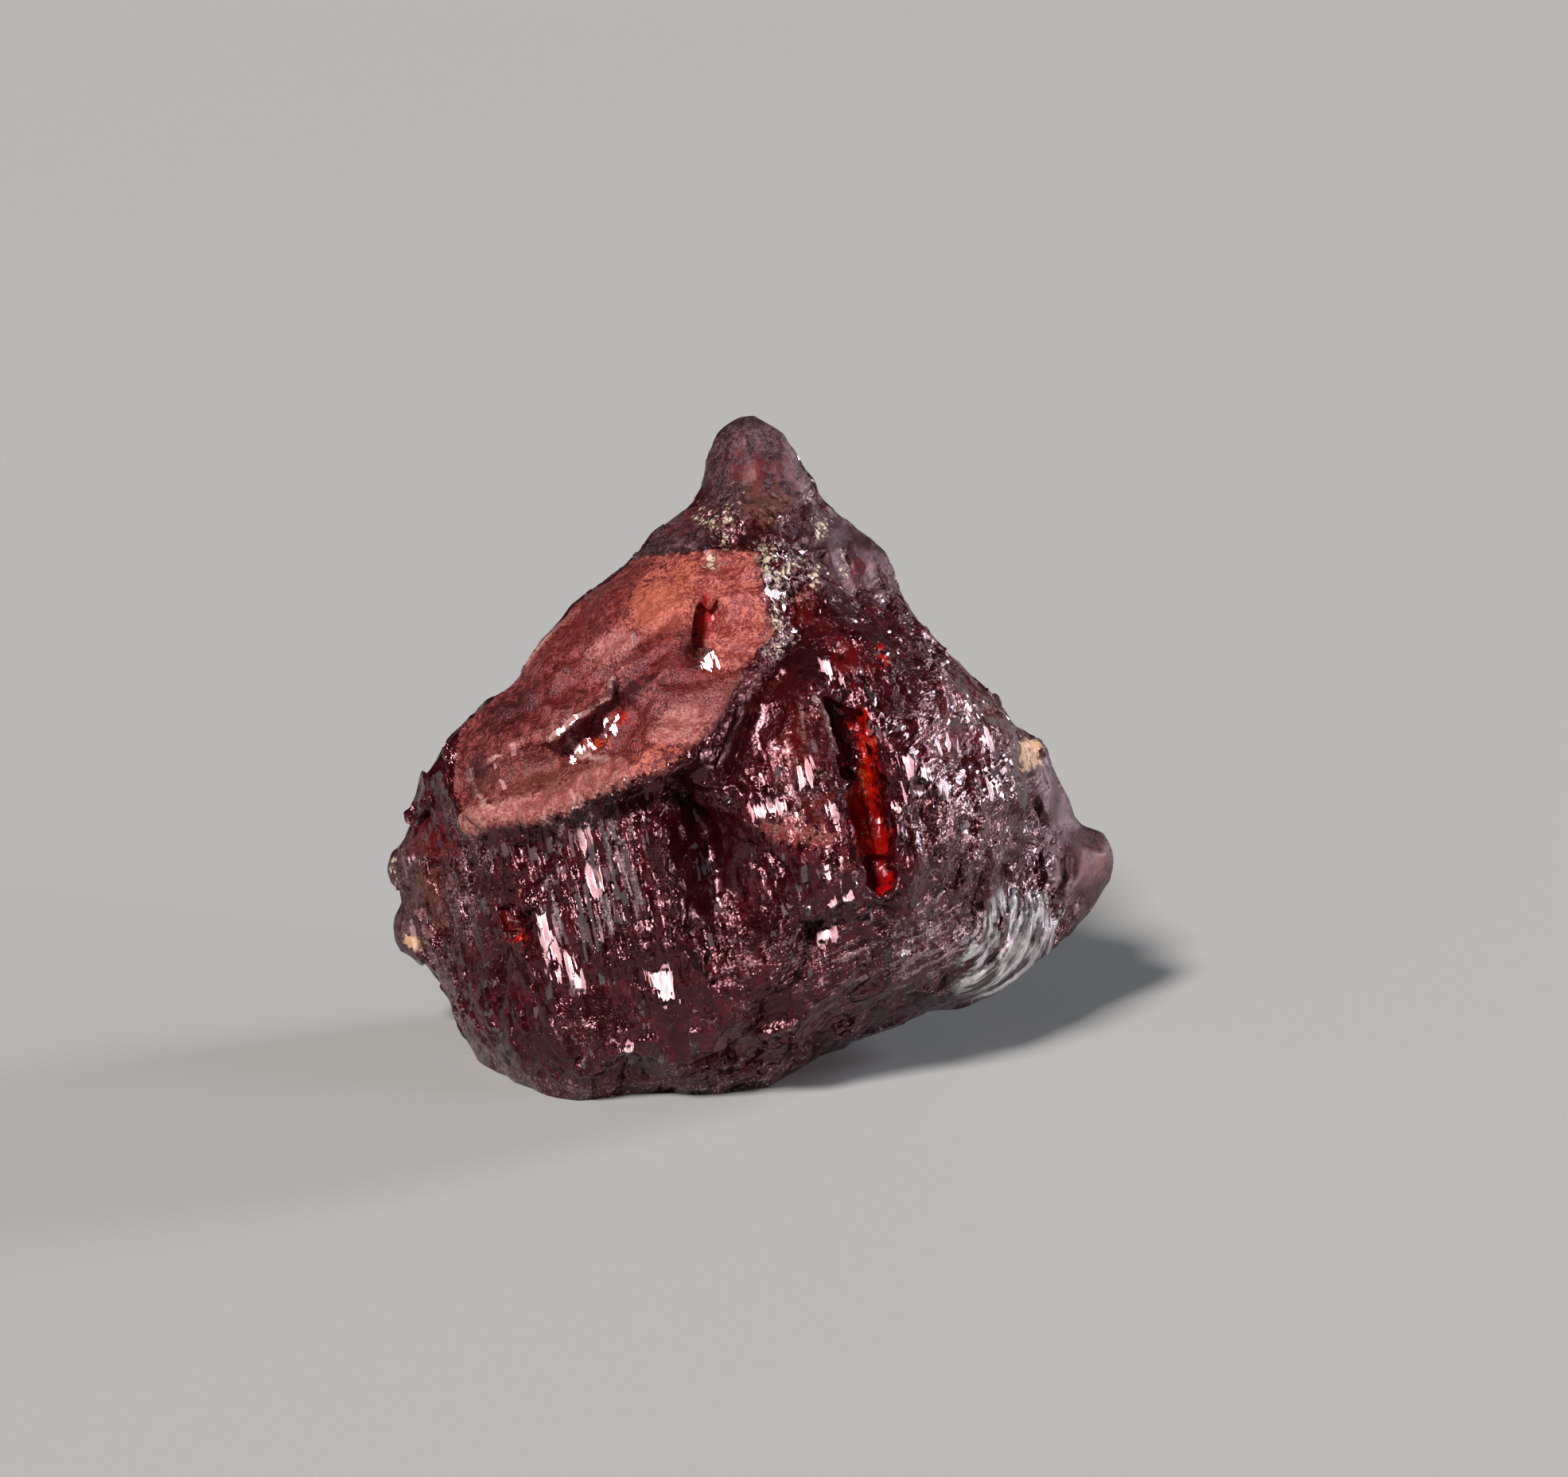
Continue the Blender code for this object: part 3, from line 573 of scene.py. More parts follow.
def relieved(mesh, shape):
    """Gives the mesh its fine relief, and keeps its foot flat."""
    places = as_array(mesh, "co")
    off_foot = ease((places[:, 2] / MM - 0.15) / 0.6)
    points, normals = in_front_frame(mesh)
    front = on_front(points, calm(mesh, normals, 24))
    height = etched(points, normals, front, shape) * off_foot * MM
    places = places + as_array(mesh, "normal") * height[:, None]
    mesh.vertices.foreach_set("co", places.ravel())
    mesh.update()


def kept_in_size(mesh):
    """Keeps the foot flat, and the whole inside the solid's box."""
    places = as_array(mesh, "co")
    places[:, 2] = np.where(places[:, 2] < 0.06 * MM, 0.0, places[:, 2])
    low, high = np.array(CAD_BOX)
    mesh.vertices.foreach_set("co", np.clip(places, low, high).ravel())
    mesh.update()


def calm(mesh, normals, passes):
    """The normals, each evened out with those around it."""
    edges = np.empty(len(mesh.edges) * 2, dtype=np.int32)
    mesh.edges.foreach_get("vertices", edges)
    starts, ends = np.concatenate((edges[::2], edges[1::2])), np.concatenate((edges[1::2], edges[::2]))
    for _ in range(passes):
        normals = np.stack([np.bincount(starts, normals[ends, i], len(normals)) for i in range(3)], axis=1)
        normals /= np.linalg.norm(normals, axis=1)[:, None] + 1e-9
    return normals


def store(mesh, name, values):
    """Keeps one number, or one vector, for each vertex, for the material."""
    kind, part = ("FLOAT_VECTOR", "vector") if values.ndim == 2 else ("FLOAT", "value")
    kept = mesh.attributes.new(name, kind, "POINT")
    kept.data.foreach_set(part, values.astype(np.float32).ravel())


def store_marks(mesh):
    """Stores how far inside each kind of mark the vertices lie, and what else the material follows."""
    points, normals = in_front_frame(mesh)
    normals = calm(mesh, normals, 8)
    front = on_front(points, calm(mesh, normals, 16))
    hidden = 2 * (1 - front)
    for name, marks in MARKS.items():
        depth = np.max([mark(points[:, [0, 2]]) for mark in marks], axis=0)
        store(mesh, name, np.clip(depth, -1, 1) - hidden)
    flats = nearest_facing(normals)
    leaning = np.sum(normals * flats, axis=1)
    store(mesh, "glint", np.clip(glint_flats(points, normals, front)[0], -1, 1) - 2 * (leaning < 0.4))
    store(mesh, "flat", flats @ np.array(TO_FRONT)[:3, :3] * MM)
    store(mesh, "leaning", ease((leaning - 0.5) / 0.1))
    store(mesh, "silky", within(points, SILKY_PLACE))
    for name, values in zip(("ring", "turn"), arcs(points)):
        store(mesh, name, values)
    store(mesh, "sparkle", sparkle(points, front))
    depth = np.max([mark(points[:, [0, 2]]) for mark in LIVELY], axis=0)
    store(mesh, "lively", ease(1 + depth / 0.7) * front)
    store(mesh, "side", to_side(normals))
    store(mesh, "lined", within(points, LINED_PLACE) * front)
    store(mesh, "streaked", within(points, STREAKED_PLACE) * front)


# ---- Material ----


class Nodes:
    """Adds nodes to a tree and links them, so that a material reads from top to bottom."""

    def __init__(self, tree):
        self.tree = tree
        self.count = 0

    def add(self, kind, settings=None, **inputs):
        node = self.tree.nodes.new(kind)
        node.location = (180 * (self.count % 12), -260 * (self.count // 12))
        self.count += 1
        for name, value in (settings or {}).items():
            setattr(node, name, value)
        for name, value in inputs.items():
            self.feed(node.inputs[name.replace("_", " ")], value)
        return node

    def feed(self, socket, value):
        if isinstance(value, bpy.types.NodeSocket):
            self.tree.links.new(value, socket)
        else:
            socket.default_value = value

    def filled(self, kind, settings, values):
        """A node with its inputs fed in order."""
        node = self.add(kind, settings)
        for socket, value in zip(node.inputs, values):
            self.feed(socket, value)
        return node

    def math(self, operation, *values):
        return self.filled("ShaderNodeMath", {"operation": operation}, values).outputs[0]

    def chain(self, operation, values):
        total = values[0]
        for value in values[1:]:
            total = self.math(operation, total, value)
        return total

    def times(self, *values):
        return self.chain("MULTIPLY", values)

    def plus(self, *values):
        return self.chain("ADD", values)

    def vector(self, operation, *values):
        node = self.filled("ShaderNodeVectorMath", {"operation": operation}, values)
        return node.outputs["Value" if operation == "DOT_PRODUCT" else "Vector"]

    def scale(self, vector, amount):
        node = self.add("ShaderNodeVectorMath", {"operation": "SCALE"}, Vector=vector, Scale=amount)
        return node.outputs["Vector"]

    def mix(self, share, low, high):
        node = self.add("ShaderNodeMix", {"data_type": "RGBA", "clamp_factor": True})
        for number, value in ((0, share), (6, low), (7, high)):
            self.feed(node.inputs[number], value)
        return node.outputs[2]

    def ramp(self, value, low, high):
        node = self.add("ShaderNodeMapRange", {"interpolation_type": "SMOOTHSTEP"})
        for number, given in ((0, value), (1, low), (2, high)):
            self.feed(node.inputs[number], given)
        return node.outputs[0]

    def noise(self, vector, scale, detail=2.0, rough=0.5):
        node = self.add("ShaderNodeTexNoise", Vector=vector, Scale=scale, Detail=detail, Roughness=rough)
        return node.outputs["Fac"]

    def attribute(self, name, output="Fac"):
        return self.add("ShaderNodeAttribute", {"attribute_name": name}).outputs[output]


def group(name, inputs, outputs):
    """A new node group, with its input and output nodes."""
    tree = bpy.data.node_groups.new(name, "ShaderNodeTree")
    for label, kind, value in inputs:
        socket = tree.interface.new_socket(label, in_out="INPUT", socket_type="NodeSocket" + kind)
        if value is not None:
            socket.default_value = value
    for label, kind in outputs:
        tree.interface.new_socket(label, in_out="OUTPUT", socket_type="NodeSocket" + kind)
    nodes = Nodes(tree)
    return tree, nodes, nodes.add("NodeGroupInput").outputs, nodes.add("NodeGroupOutput").inputs


def lattice_group():
    """The front frame's place and the place along the lattice, both in mm, from object coordinates."""
    tree, nodes, given, out = group(
        "lattice place",
        [("Object", "Vector", None)],
        [("Front", "Vector"), ("Lattice", "Vector")],
    )
    turned, place = TO_FRONT.to_euler(), TO_FRONT.to_translation()
    front = nodes.add(
        "ShaderNodeMapping", Vector=given["Object"], Scale=(1 / MM,) * 3, Rotation=turned, Location=place
    ).outputs[0]
    turned = Matrix(LATTICE.tolist()).to_euler()
    along = nodes.add("ShaderNodeMapping", Vector=front, Rotation=turned).outputs[0]
    nodes.feed(out["Front"], front)
    nodes.feed(out["Lattice"], along)
    return tree


def facet_group():
    """Etched facets in cells along the lattice: height in mm, 1 on the flats, and the small turn of each."""
    tree, nodes, given, out = group(
        "etched facets",
        [
            ("Lattice", "Vector", None), ("Size", "Vector", (0.2, 0.5, 0.4)),
            ("Facing share", "Float", 0.15), ("Slant", "Float", 0.4),
        ],
        [("Height", "Float"), ("Facing", "Float"), ("Turn", "Vector")],
    )
    place = nodes.vector("DIVIDE", given["Lattice"], given["Size"])
    column = nodes.math("FLOOR", nodes.add("ShaderNodeSeparateXYZ", Vector=place).outputs["X"])
    set_off = nodes.add("ShaderNodeCombineXYZ", Z=nodes.times(column, STAGGER)).outputs[0]
    place = nodes.vector("ADD", place, set_off)
    cell = nodes.vector("FLOOR", place)
    local = nodes.vector("SUBTRACT", nodes.vector("SUBTRACT", place, cell), (0.5, 0.5, 0.5))
    local = nodes.vector("MULTIPLY", local, given["Size"])
    random = nodes.add("ShaderNodeTexWhiteNoise", {"noise_dimensions": "3D"}, Vector=cell)
    facing = nodes.math("LESS_THAN", random.outputs["Value"], given["Facing share"])
    slope = nodes.vector("SUBTRACT", random.outputs["Color"], (0.5, 0.5, 0.5))
    free = nodes.times(nodes.vector("DOT_PRODUCT", local, slope), given["Slant"])
    nodes.feed(out["Height"], nodes.times(free, nodes.math("SUBTRACT", 1.0, facing)))
    nodes.feed(out["Facing"], facing)
    nodes.feed(out["Turn"], nodes.scale(slope, nodes.times(facing, 0.24)))
    return tree


def mark_group():
    """Mask of a kind of mark: its edge follows noise, and its share is the most that it may cover."""
    tree, nodes, given, out = group(
        "mark",
        [
            ("Inside", "Float", 0.0), ("Ragged", "Float", 0.0),
            ("Wander", "Float", 0.4), ("Softness", "Float", 0.08),
            ("Share", "Float", 1.0),
        ],
        [("Mask", "Float")],
    )
    wander = nodes.times(nodes.math("SUBTRACT", given["Ragged"], 0.5), given["Wander"])
    edge = nodes.plus(given["Inside"], wander)
    soft = given["Softness"]
    mask = nodes.ramp(edge, nodes.times(soft, -1.0), soft)
    nodes.feed(out["Mask"], nodes.times(mask, given["Share"]))
    return tree


def garnet_material(look):
    """Deep red garnet: see-through, darkened by its depth, with frosted, salmon and mauve places."""
    material = bpy.data.materials.new("garnet")
    material.use_nodes = True
    tree = material.node_tree
    tree.nodes.clear()
    nodes = Nodes(tree)
    mix, ramp, times, plus, attribute = nodes.mix, nodes.ramp, nodes.times, nodes.plus, nodes.attribute
    marks, facets = mark_group(), facet_group()

    place = nodes.add("ShaderNodeTexCoord").outputs["Object"]
    places = nodes.add("ShaderNodeGroup", {"node_tree": lattice_group()}, Object=place)
    front, lattice = places.outputs["Front"], places.outputs["Lattice"]

    coarse = nodes.noise(front, 0.7, 2.0, 0.5)
    medium = nodes.noise(front, 2.6, 4.0, 0.65)
    ragged = ramp(nodes.noise(front, 3.5, 4.0, 0.7), 0.32, 0.68)
    speckle = nodes.noise(front, look.grain, 2.0, 0.6)
    lines = nodes.noise(nodes.vector("MULTIPLY", lattice, (6.0, 1.5, 0.5)), 1.0, 3.0, 0.6)
    slanted = nodes.add(
        "ShaderNodeMapping", {"vector_type": "TEXTURE"},
        Vector=front, Rotation=(0.0, -look.streak_turn, 0.0), Scale=(0.9, 0.5, 0.13),
    ).outputs[0]
    streaks = nodes.noise(slanted, 1.0, 3.0, 0.6)

    side = attribute("side")
    lined, streaked = attribute("lined"), attribute("streaked")
    silky, sparkle = attribute("silky"), attribute("sparkle")
    on_side = nodes.add("ShaderNodeMapping", Vector=lattice, Rotation=SIDE_TURN.to_euler()).outputs[0]
    to_side_place = nodes.scale(nodes.vector("SUBTRACT", on_side, lattice), side)
    facet_place = nodes.vector("ADD", lattice, to_side_place)

    def inverse(value):
        return nodes.math("SUBTRACT", 1.0, value)

    def mark(name, wander=0.4, softness=0.06, share=1.0, edge=ragged):
        values = (attribute(name), edge, wander, softness, share)
        return nodes.filled("ShaderNodeGroup", {"node_tree": marks}, values).outputs[0]

    def cells(size, share, slant):
        values = (facet_place, size, share, slant)
        return nodes.filled("ShaderNodeGroup", {"node_tree": facets}, values).outputs

    fracture = mark("fracture", 0.12, 0.03)
    clear = mark("clear", 0.8, 0.45)
    misty = mark("misty", 1.0, 0.4)
    dark_and_shade = mark("dark_and_shade", 0.6, 0.12)
    glint = mark("glint", 0.4, 0.02, 1.0, ramp(lines, 0.3, 0.7))

    matt = nodes.math("MAXIMUM", fracture, nodes.math("MAXIMUM", clear, times(silky, 0.5)))
    red = times(mark("red", 1.0, 0.25, 0.7), inverse(times(dark_and_shade, 0.8)))
    quiet = times(inverse(times(dark_and_shade, 0.85)), inverse(times(red, 0.6)))
    open_share = times(inverse(times(matt, 0.85)), quiet)
    gathered = ramp(nodes.noise(front, 0.9, 2.0, 0.6), 0.42, 0.62)
    cream = mark("cream", 0.5, 0.1)
    lively = plus(0.012, times(attribute("lively"), 0.02))
    many = plus(0.006, times(gathered, lively))
    many = plus(many, times(sparkle, 0.16), times(cream, 0.08))
    many = times(many, open_share, attribute("leaning"))
    small, small_facing, small_turn = cells((0.13, 0.5, 0.36), many, 0.3)
    tiny, tiny_facing, tiny_turn = cells((0.06, 0.3, 0.15), times(many, 0.6), 0.3)
    many_long = times(ramp(lined, 0.5, 1.0), 0.26, ramp(coarse, 0.35, 0.6), open_share)
    long, long_facing, long_turn = cells((0.075, 0.6, 1.3), many_long, 0.3)
    around, along = times(attribute("ring"), 4.6), times(attribute("turn"), 1.2)
    strands = nodes.add("ShaderNodeCombineXYZ", X=around, Y=along).outputs[0]
    strands = nodes.noise(strands, 1.0, 3.0, 0.6)

    # body: dark wine, under a silvery haze of grains, lines and streaks: frosting, with painted sheen along
    # the lines and streaks
    pattern = plus(times(speckle, 0.75), times(medium, 0.45))
    pattern = plus(pattern, times(nodes.math("SUBTRACT", lines, 0.5), plus(0.25, lined)))
    pattern = plus(pattern, times(nodes.math("SUBTRACT", streaks, 0.5), streaked, 1.4))
    pattern = plus(pattern, times(misty, 0.1), -0.08)
    haze_and_sheen = ramp(pattern, 0.6, 0.8)
    haze_and_sheen = times(haze_and_sheen, quiet)
    colour = mix(ramp(medium, 0.4, 0.65), look.deep_and_shade_colour, look.body_colour)
    haze_and_sheen = times(haze_and_sheen, plus(0.4, times(misty, 0.3), times(lined, 0.3)))
    colour = mix(haze_and_sheen, colour, look.haze_and_sheen_colour)

    # fracture face: rose and salmon, in fine grains
    mottle = nodes.noise(front, 6.0, 3.0, 0.7)
    grains = plus(times(speckle, 0.5), times(mottle, 0.5), times(medium, 0.35))
    grains = ramp(grains, 0.6, 0.8)
    rose = mix(grains, look.deep_rose_colour, look.rose_colour)
    salmon = mix(grains, look.deep_salmon_colour, look.salmon_colour)
    face = mix(mark("salmon", 1.0, 0.15), rose, salmon)
    colour = mix(fracture, colour, face)
    pink = mix(grains, look.rose_colour, look.pink_colour)
    colour = mix(mark("pink", 0.35, 0.1, 0.8), colour, pink)
    # palest edges and the slot's rim: pale, brightened as painted highlight
    colour = mix(mark("lip_highlight", 0.15, 0.06, 0.9), colour, look.lip_highlight_colour)
    bright_share = plus(0.4, times(grains, 0.6))
    bright = mix(bright_share, look.deep_salmon_colour, look.bright_colour)
    colour = mix(mark("bright", 0.7, 0.2, 0.9), colour, bright)

    # clear places: mauve-grey grains
    mauve = mix(grains, look.deep_mauve_colour, look.mauve_colour)
    colour = mix(times(clear, 0.8, inverse(fracture)), colour, mauve)
    # smoky places on the wing, knob and shoulder, deepened as painted shade
    colour = mix(mark("smoky_and_shade", 0.8, 0.3, 0.92), colour, look.deep_mauve_colour)
    # painted shade: the dark places, the valley, slot, window, creases and pits turn towards the deep colour
    colour = mix(times(dark_and_shade, 0.85), colour, look.deep_and_shade_colour)
    colour = mix(mark("brown", 0.8, 0.3, 0.55), colour, look.brown_colour)
    # silky ridges: pale, with painted sheen; the brightest of them carry a painted highlight
    silk = mix(ramp(strands, 0.48, 0.6), look.deep_mauve_colour, look.silk_and_sheen_colour)
    colour = mix(times(ramp(silky, 0.1, 0.7), 0.92), colour, silk)
    silver_highlight = times(mark("silver_highlight", 0.2, 0.1), ramp(silky, 0.0, 0.3))
    silver_highlight = times(silver_highlight, plus(0.05, ramp(strands, 0.42, 0.56)))
    colour = mix(silver_highlight, colour, look.silver_highlight_colour)

    # dark red places, and painted glow in the slot, slits and warm spots
    colour = mix(red, colour, look.red_colour)
    painted_glow = mark("painted_glow", 0.3, 0.06, 0.95)
    colour = mix(painted_glow, colour, look.painted_glow_colour)
    ember_glow = times(mark("ember_glow", 0.25, 0.12), ramp(medium, 0.3, 0.6))
    colour = mix(ember_glow, colour, look.ember_glow_colour)
    fire_glow = times(mark("fire_glow", 0.25, 0.1), ramp(ragged, 0.4, 0.8), 0.8)
    colour = mix(fire_glow, colour, look.fire_glow_colour)
    colour = mix(mark("orange", 0.18, 0.06, 0.95), colour, look.orange_colour)
    beads = nodes.add("ShaderNodeTexVoronoi", Vector=front, Scale=6.5).outputs["Distance"]
    beads = times(cream, ramp(beads, 0.62, 0.5))
    colour = mix(beads, colour, look.cream_colour)

    facing = nodes.math("MAXIMUM", small_facing, nodes.math("MAXIMUM", tiny_facing, long_facing))
    facing = nodes.math("MAXIMUM", facing, glint)
    # painted highlight: the mirror flats are tinted towards a bluish white
    colour = mix(times(facing, 0.1), colour, look.painted_glint_colour)
    rough = plus(look.polish, times(ramp(medium, 0.3, 0.7), 0.1))
    rough = plus(rough, times(fracture, 0.2, inverse(glint)))
    rough = plus(rough, times(matt, 0.08), times(clear, 0.28))
    rough = times(rough, inverse(times(facing, 0.3)))
    rough = plus(rough, times(glint, ramp(lines, 0.42, 0.58), 0.3, inverse(fracture)))

    # relief of the rest, and the flats, which all face one of a few ways
    height = times(plus(long, small, tiny), open_share)
    across = nodes.add("ShaderNodeSeparateXYZ", Vector=lattice).outputs["X"]
    turn = times(across, 2 * math.pi / look.line_spacing)
    turn = plus(turn, times(coarse, 6.0))
    groove = times(nodes.math("SINE", turn), ramp(lines, 0.35, 0.6), lined)
    grain = times(speckle, plus(0.016, times(fracture, 0.03), times(clear, -0.011)))
    height = plus(height, grain, times(groove, 0.022), times(streaks, streaked, 0.12))
    height = plus(height, times(strands, silky, 0.19), times(beads, 0.06))
    bump = nodes.add("ShaderNodeBump", Strength=1.0, Distance=MM, Height=height).outputs[0]
    turns = nodes.vector("ADD", nodes.vector("ADD", small_turn, tiny_turn), long_turn)
    flat = nodes.vector("ADD", attribute("flat", "Vector"), turns)
    flat = nodes.add(
        "ShaderNodeVectorTransform",
        {"vector_type": "VECTOR", "convert_from": "OBJECT", "convert_to": "WORLD"},
        Vector=nodes.vector("NORMALIZE", flat),
    ).outputs[0]
    normal = nodes.vector("ADD", bump, nodes.scale(nodes.vector("SUBTRACT", flat, bump), facing))
    normal = nodes.vector("NORMALIZE", normal)

    shader = nodes.add(
        "ShaderNodeBsdfPrincipled", Base_Color=colour, Roughness=rough, Normal=normal, Metallic=0.0,
        IOR=look.ior, Specular_IOR_Level=look.gloss, Specular_Tint=look.sheen_colour,
        Transmission_Weight=look.clearness,
    ).outputs[0]
    depth_colour = (*look.absorption_colour, 1.0)
    depth = nodes.add("ShaderNodeVolumeAbsorption", Color=depth_colour, Density=look.absorption).outputs[0]
    output = nodes.add("ShaderNodeOutputMaterial", Surface=shader, Volume=depth)
    output.is_active_output = True
    return material


# ---- Settings ----


def colour_setting(name, description, default):
    """A colour property, opaque."""
    return FloatVectorProperty(
        name=name, description=description, subtype="COLOR", size=4, min=0, max=1, default=(*default, 1.0)
    )


def number_setting(name, description, default, unit="NONE"):
    """A number property."""
    return FloatProperty(name=name, description=description, default=default, unit=unit)


def block_setting(name, default):
    """A property for the size of etched blocks."""
    description = "Across, through and down the lattice, in mm"
    return FloatVectorProperty(name=name, description=description, default=default)


class GarnetShape(bpy.types.PropertyGroup):
    """Sizes of the crystal's fine relief, in millimetres."""

    mesh_size: number_setting("Mesh size", "Edge of the even mesh, in mm", 0.06)
    triangles: IntProperty(name="Triangles", description="Most triangles in the piece", default=190000)
    relief: number_setting("Relief", "Strength of the etched blocks", 1.0)
    coarse_block: block_setting("Large blocks", (0.8, 0.7, 1.7))
    fine_block: block_setting("Small blocks", (0.33, 0.4, 0.8))
    line_spacing: number_setting("Etched lines", "Between two of them, in mm", 0.3)


class GarnetLook(bpy.types.PropertyGroup):
    """Colours and optical values of the garnet."""

    body_colour: colour_setting("Body", "Usual colour of the surface", (0.09, 0.004, 0.008))
    # the deep colour is also the colour of the painted shade
    deep_and_shade_colour: colour_setting("Deep", "Darkest colour of the surface", (0.022, 0.0003, 0.001))
    # frosted haze, with painted sheen along the etched lines and streaks
    haze_and_sheen_colour: colour_setting("Haze", "Silvery haze on the etched surface", (0.6, 0.42, 0.44))
    rose_colour: colour_setting("Rose", "Grains of the fracture face", (0.52, 0.11, 0.1))
    deep_rose_colour: colour_setting("Deep rose", "Between the grains", (0.1, 0.005, 0.006))
    salmon_colour: colour_setting("Salmon", "Grains of its bright part", (0.92, 0.25, 0.18))
    deep_salmon_colour: colour_setting("Deep salmon", "Between those grains", (0.3, 0.03, 0.024))
    bright_colour: colour_setting("Bright", "Its brightest patches", (1.0, 0.27, 0.16))
    pink_colour: colour_setting("Pink", "Lips and ridges of the fracture face", (0.8, 0.38, 0.33))
    # pale edges, brightened as painted highlight
    lip_highlight_colour: colour_setting("Lip", "Palest edges of the fracture face", (0.95, 0.52, 0.48))
    brown_colour: colour_setting("Brown", "Brown places", (0.2, 0.06, 0.032))
    mauve_colour: colour_setting("Mauve", "Grains of the horn, wing and ledges", (0.21, 0.125, 0.135))
    deep_mauve_colour: colour_setting("Deep mauve", "Between those grains", (0.022, 0.006, 0.008))
    # painted sheen and painted highlight on the silky ridges
    silk_and_sheen_colour: colour_setting("Silk", "Ridges where the wing joins", (0.7, 0.64, 0.68))
    silver_highlight_colour: colour_setting("Silver", "Brightest of those ridges", (1.0, 0.97, 0.93))
    red_colour: colour_setting("Red", "Clear dark red places", (0.17, 0.003, 0.003))
    # painted glow: light from inside the crystal, painted into the slot, slits and warm spots
    painted_glow_colour: colour_setting("Glow", "The slot and the slits", (0.52, 0.004, 0.002))
    ember_glow_colour: colour_setting("Ember", "Their bright red middles", (0.9, 0.02, 0.006))
    fire_glow_colour: colour_setting("Fire", "Warm spots in the clear places", (1.0, 0.11, 0.005))
    orange_colour: colour_setting("Orange", "Spots on the wing and ledges", (1.0, 0.6, 0.36))
    cream_colour: colour_setting("Cream", "Specks on the shoulder", (0.95, 0.76, 0.56))
    # painted highlight on the small mirror flats
    painted_glint_colour: colour_setting("Glint", "Small mirror flats", (0.72, 0.85, 0.9))
    sheen_colour: colour_setting("Sheen", "Colour of reflections seen straight on", (1.0, 0.5, 0.56))
    absorption_colour: FloatVectorProperty(
        name="Depth colour",
        description="Colour that light keeps inside",
        subtype="COLOR",
        default=(0.86, 0.1, 0.05),
    )
    absorption: number_setting("Absorption", "Darkening with depth, per m", 1500.0)
    ior: number_setting("IOR", "Index of refraction", 1.78)
    gloss: number_setting("Gloss", "Strength of reflections", 0.26)
    clearness: number_setting("Clearness", "Share of light let through", 0.5)
    polish: number_setting("Polish", "Usual roughness of the etched surface", 0.11)
    grain: number_setting("Grain", "Specks per mm", 14.0)
    line_spacing: number_setting("Fine lines", "Between two of them, in mm", 0.29)
    streak_turn: number_setting("Streaks", "Their turn", 0.45, "ROTATION")


class GarnetStage(bpy.types.PropertyGroup):
    """The floor, the lights and the camera."""

    floor_colour: colour_setting("Floor", "Pale floor", (0.34, 0.337, 0.334))
    key_strength: number_setting("Main light", "Strength, from the upper left", 5.0)
    fill_strength: number_setting("Fill light", "Strength, from the right", 2.9)
    side_strength: number_setting("Side light", "Strength, from behind right", 2.2)
    surroundings: number_setting("Surroundings", "Brightness all round", 0.05)
    lens: number_setting("Lens", "Focal length", 110.0, "CAMERA")
    across: number_setting("View width", "Width at the crystal, in mm", 42.94)


# ---- Operators ----


def only(obj):
    """Selects one object and nothing else."""
    for other in bpy.context.view_layer.objects:
        other.select_set(False)
    obj.select_set(True)
    bpy.context.view_layer.objects.active = obj


def applied(obj, kind, **settings):
    """Adds a modifier and applies it."""
    only(obj)
    modifier = obj.modifiers.new(kind.lower(), kind)
    for name, value in settings.items():
        setattr(modifier, name, value)
    bpy.ops.object.modifier_apply(modifier=modifier.name)


class GARNET_OT_crystal(bpy.types.Operator):
    """Etches the fine relief of the crystal and gives it its garnet finish"""

    bl_idname = "garnet.crystal"
    bl_label = "Crystal"

    def execute(self, context):
        shape = context.scene.garnet_shape
        crystal = bpy.data.objects.new(PIECE, frame["nodes"][SOLID].data.copy())
        context.scene.collection.objects.link(crystal)
        only(crystal)
        bpy.ops.object.mode_set(mode="EDIT")
        bpy.ops.mesh.select_all(action="SELECT")
        bpy.ops.mesh.remove_doubles(threshold=0.001 * MM)
        bpy.ops.object.mode_set(mode="OBJECT")
        crystal.data.remesh_voxel_size = shape.mesh_size * MM
        bpy.ops.object.voxel_remesh()
        applied(crystal, "SMOOTH", factor=0.5, iterations=10)
        relieved(crystal.data, shape)
        applied(crystal, "SMOOTH", factor=0.35, iterations=1)
        faces = sum(len(face.vertices) - 2 for face in crystal.data.polygons)
        applied(crystal, "DECIMATE", ratio=shape.triangles / faces, use_collapse_triangulate=True)
        kept_in_size(crystal.data)
        bpy.ops.object.shade_smooth_by_angle(angle=math.radians(22))
        store_marks(crystal.data)
        crystal.data.materials.clear()
        crystal.data.materials.append(garnet_material(context.scene.garnet_look))
        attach(crystal, "root")
        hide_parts(SOLID)
        return {"FINISHED"}


def soft_light(name, direction, spread, strength, colour):
    """A soft light from far away. Its spread is how wide it looks, in degrees."""
    data = bpy.data.lights.new(name, "SUN")
    data.angle = math.radians(spread)
    data.energy = strength
    data.color = colour
    lamp = bpy.data.objects.new(name, data)
    bpy.context.scene.collection.objects.link(lamp)
    lamp.rotation_euler = Vector(direction).to_track_quat("Z", "Y").to_euler()


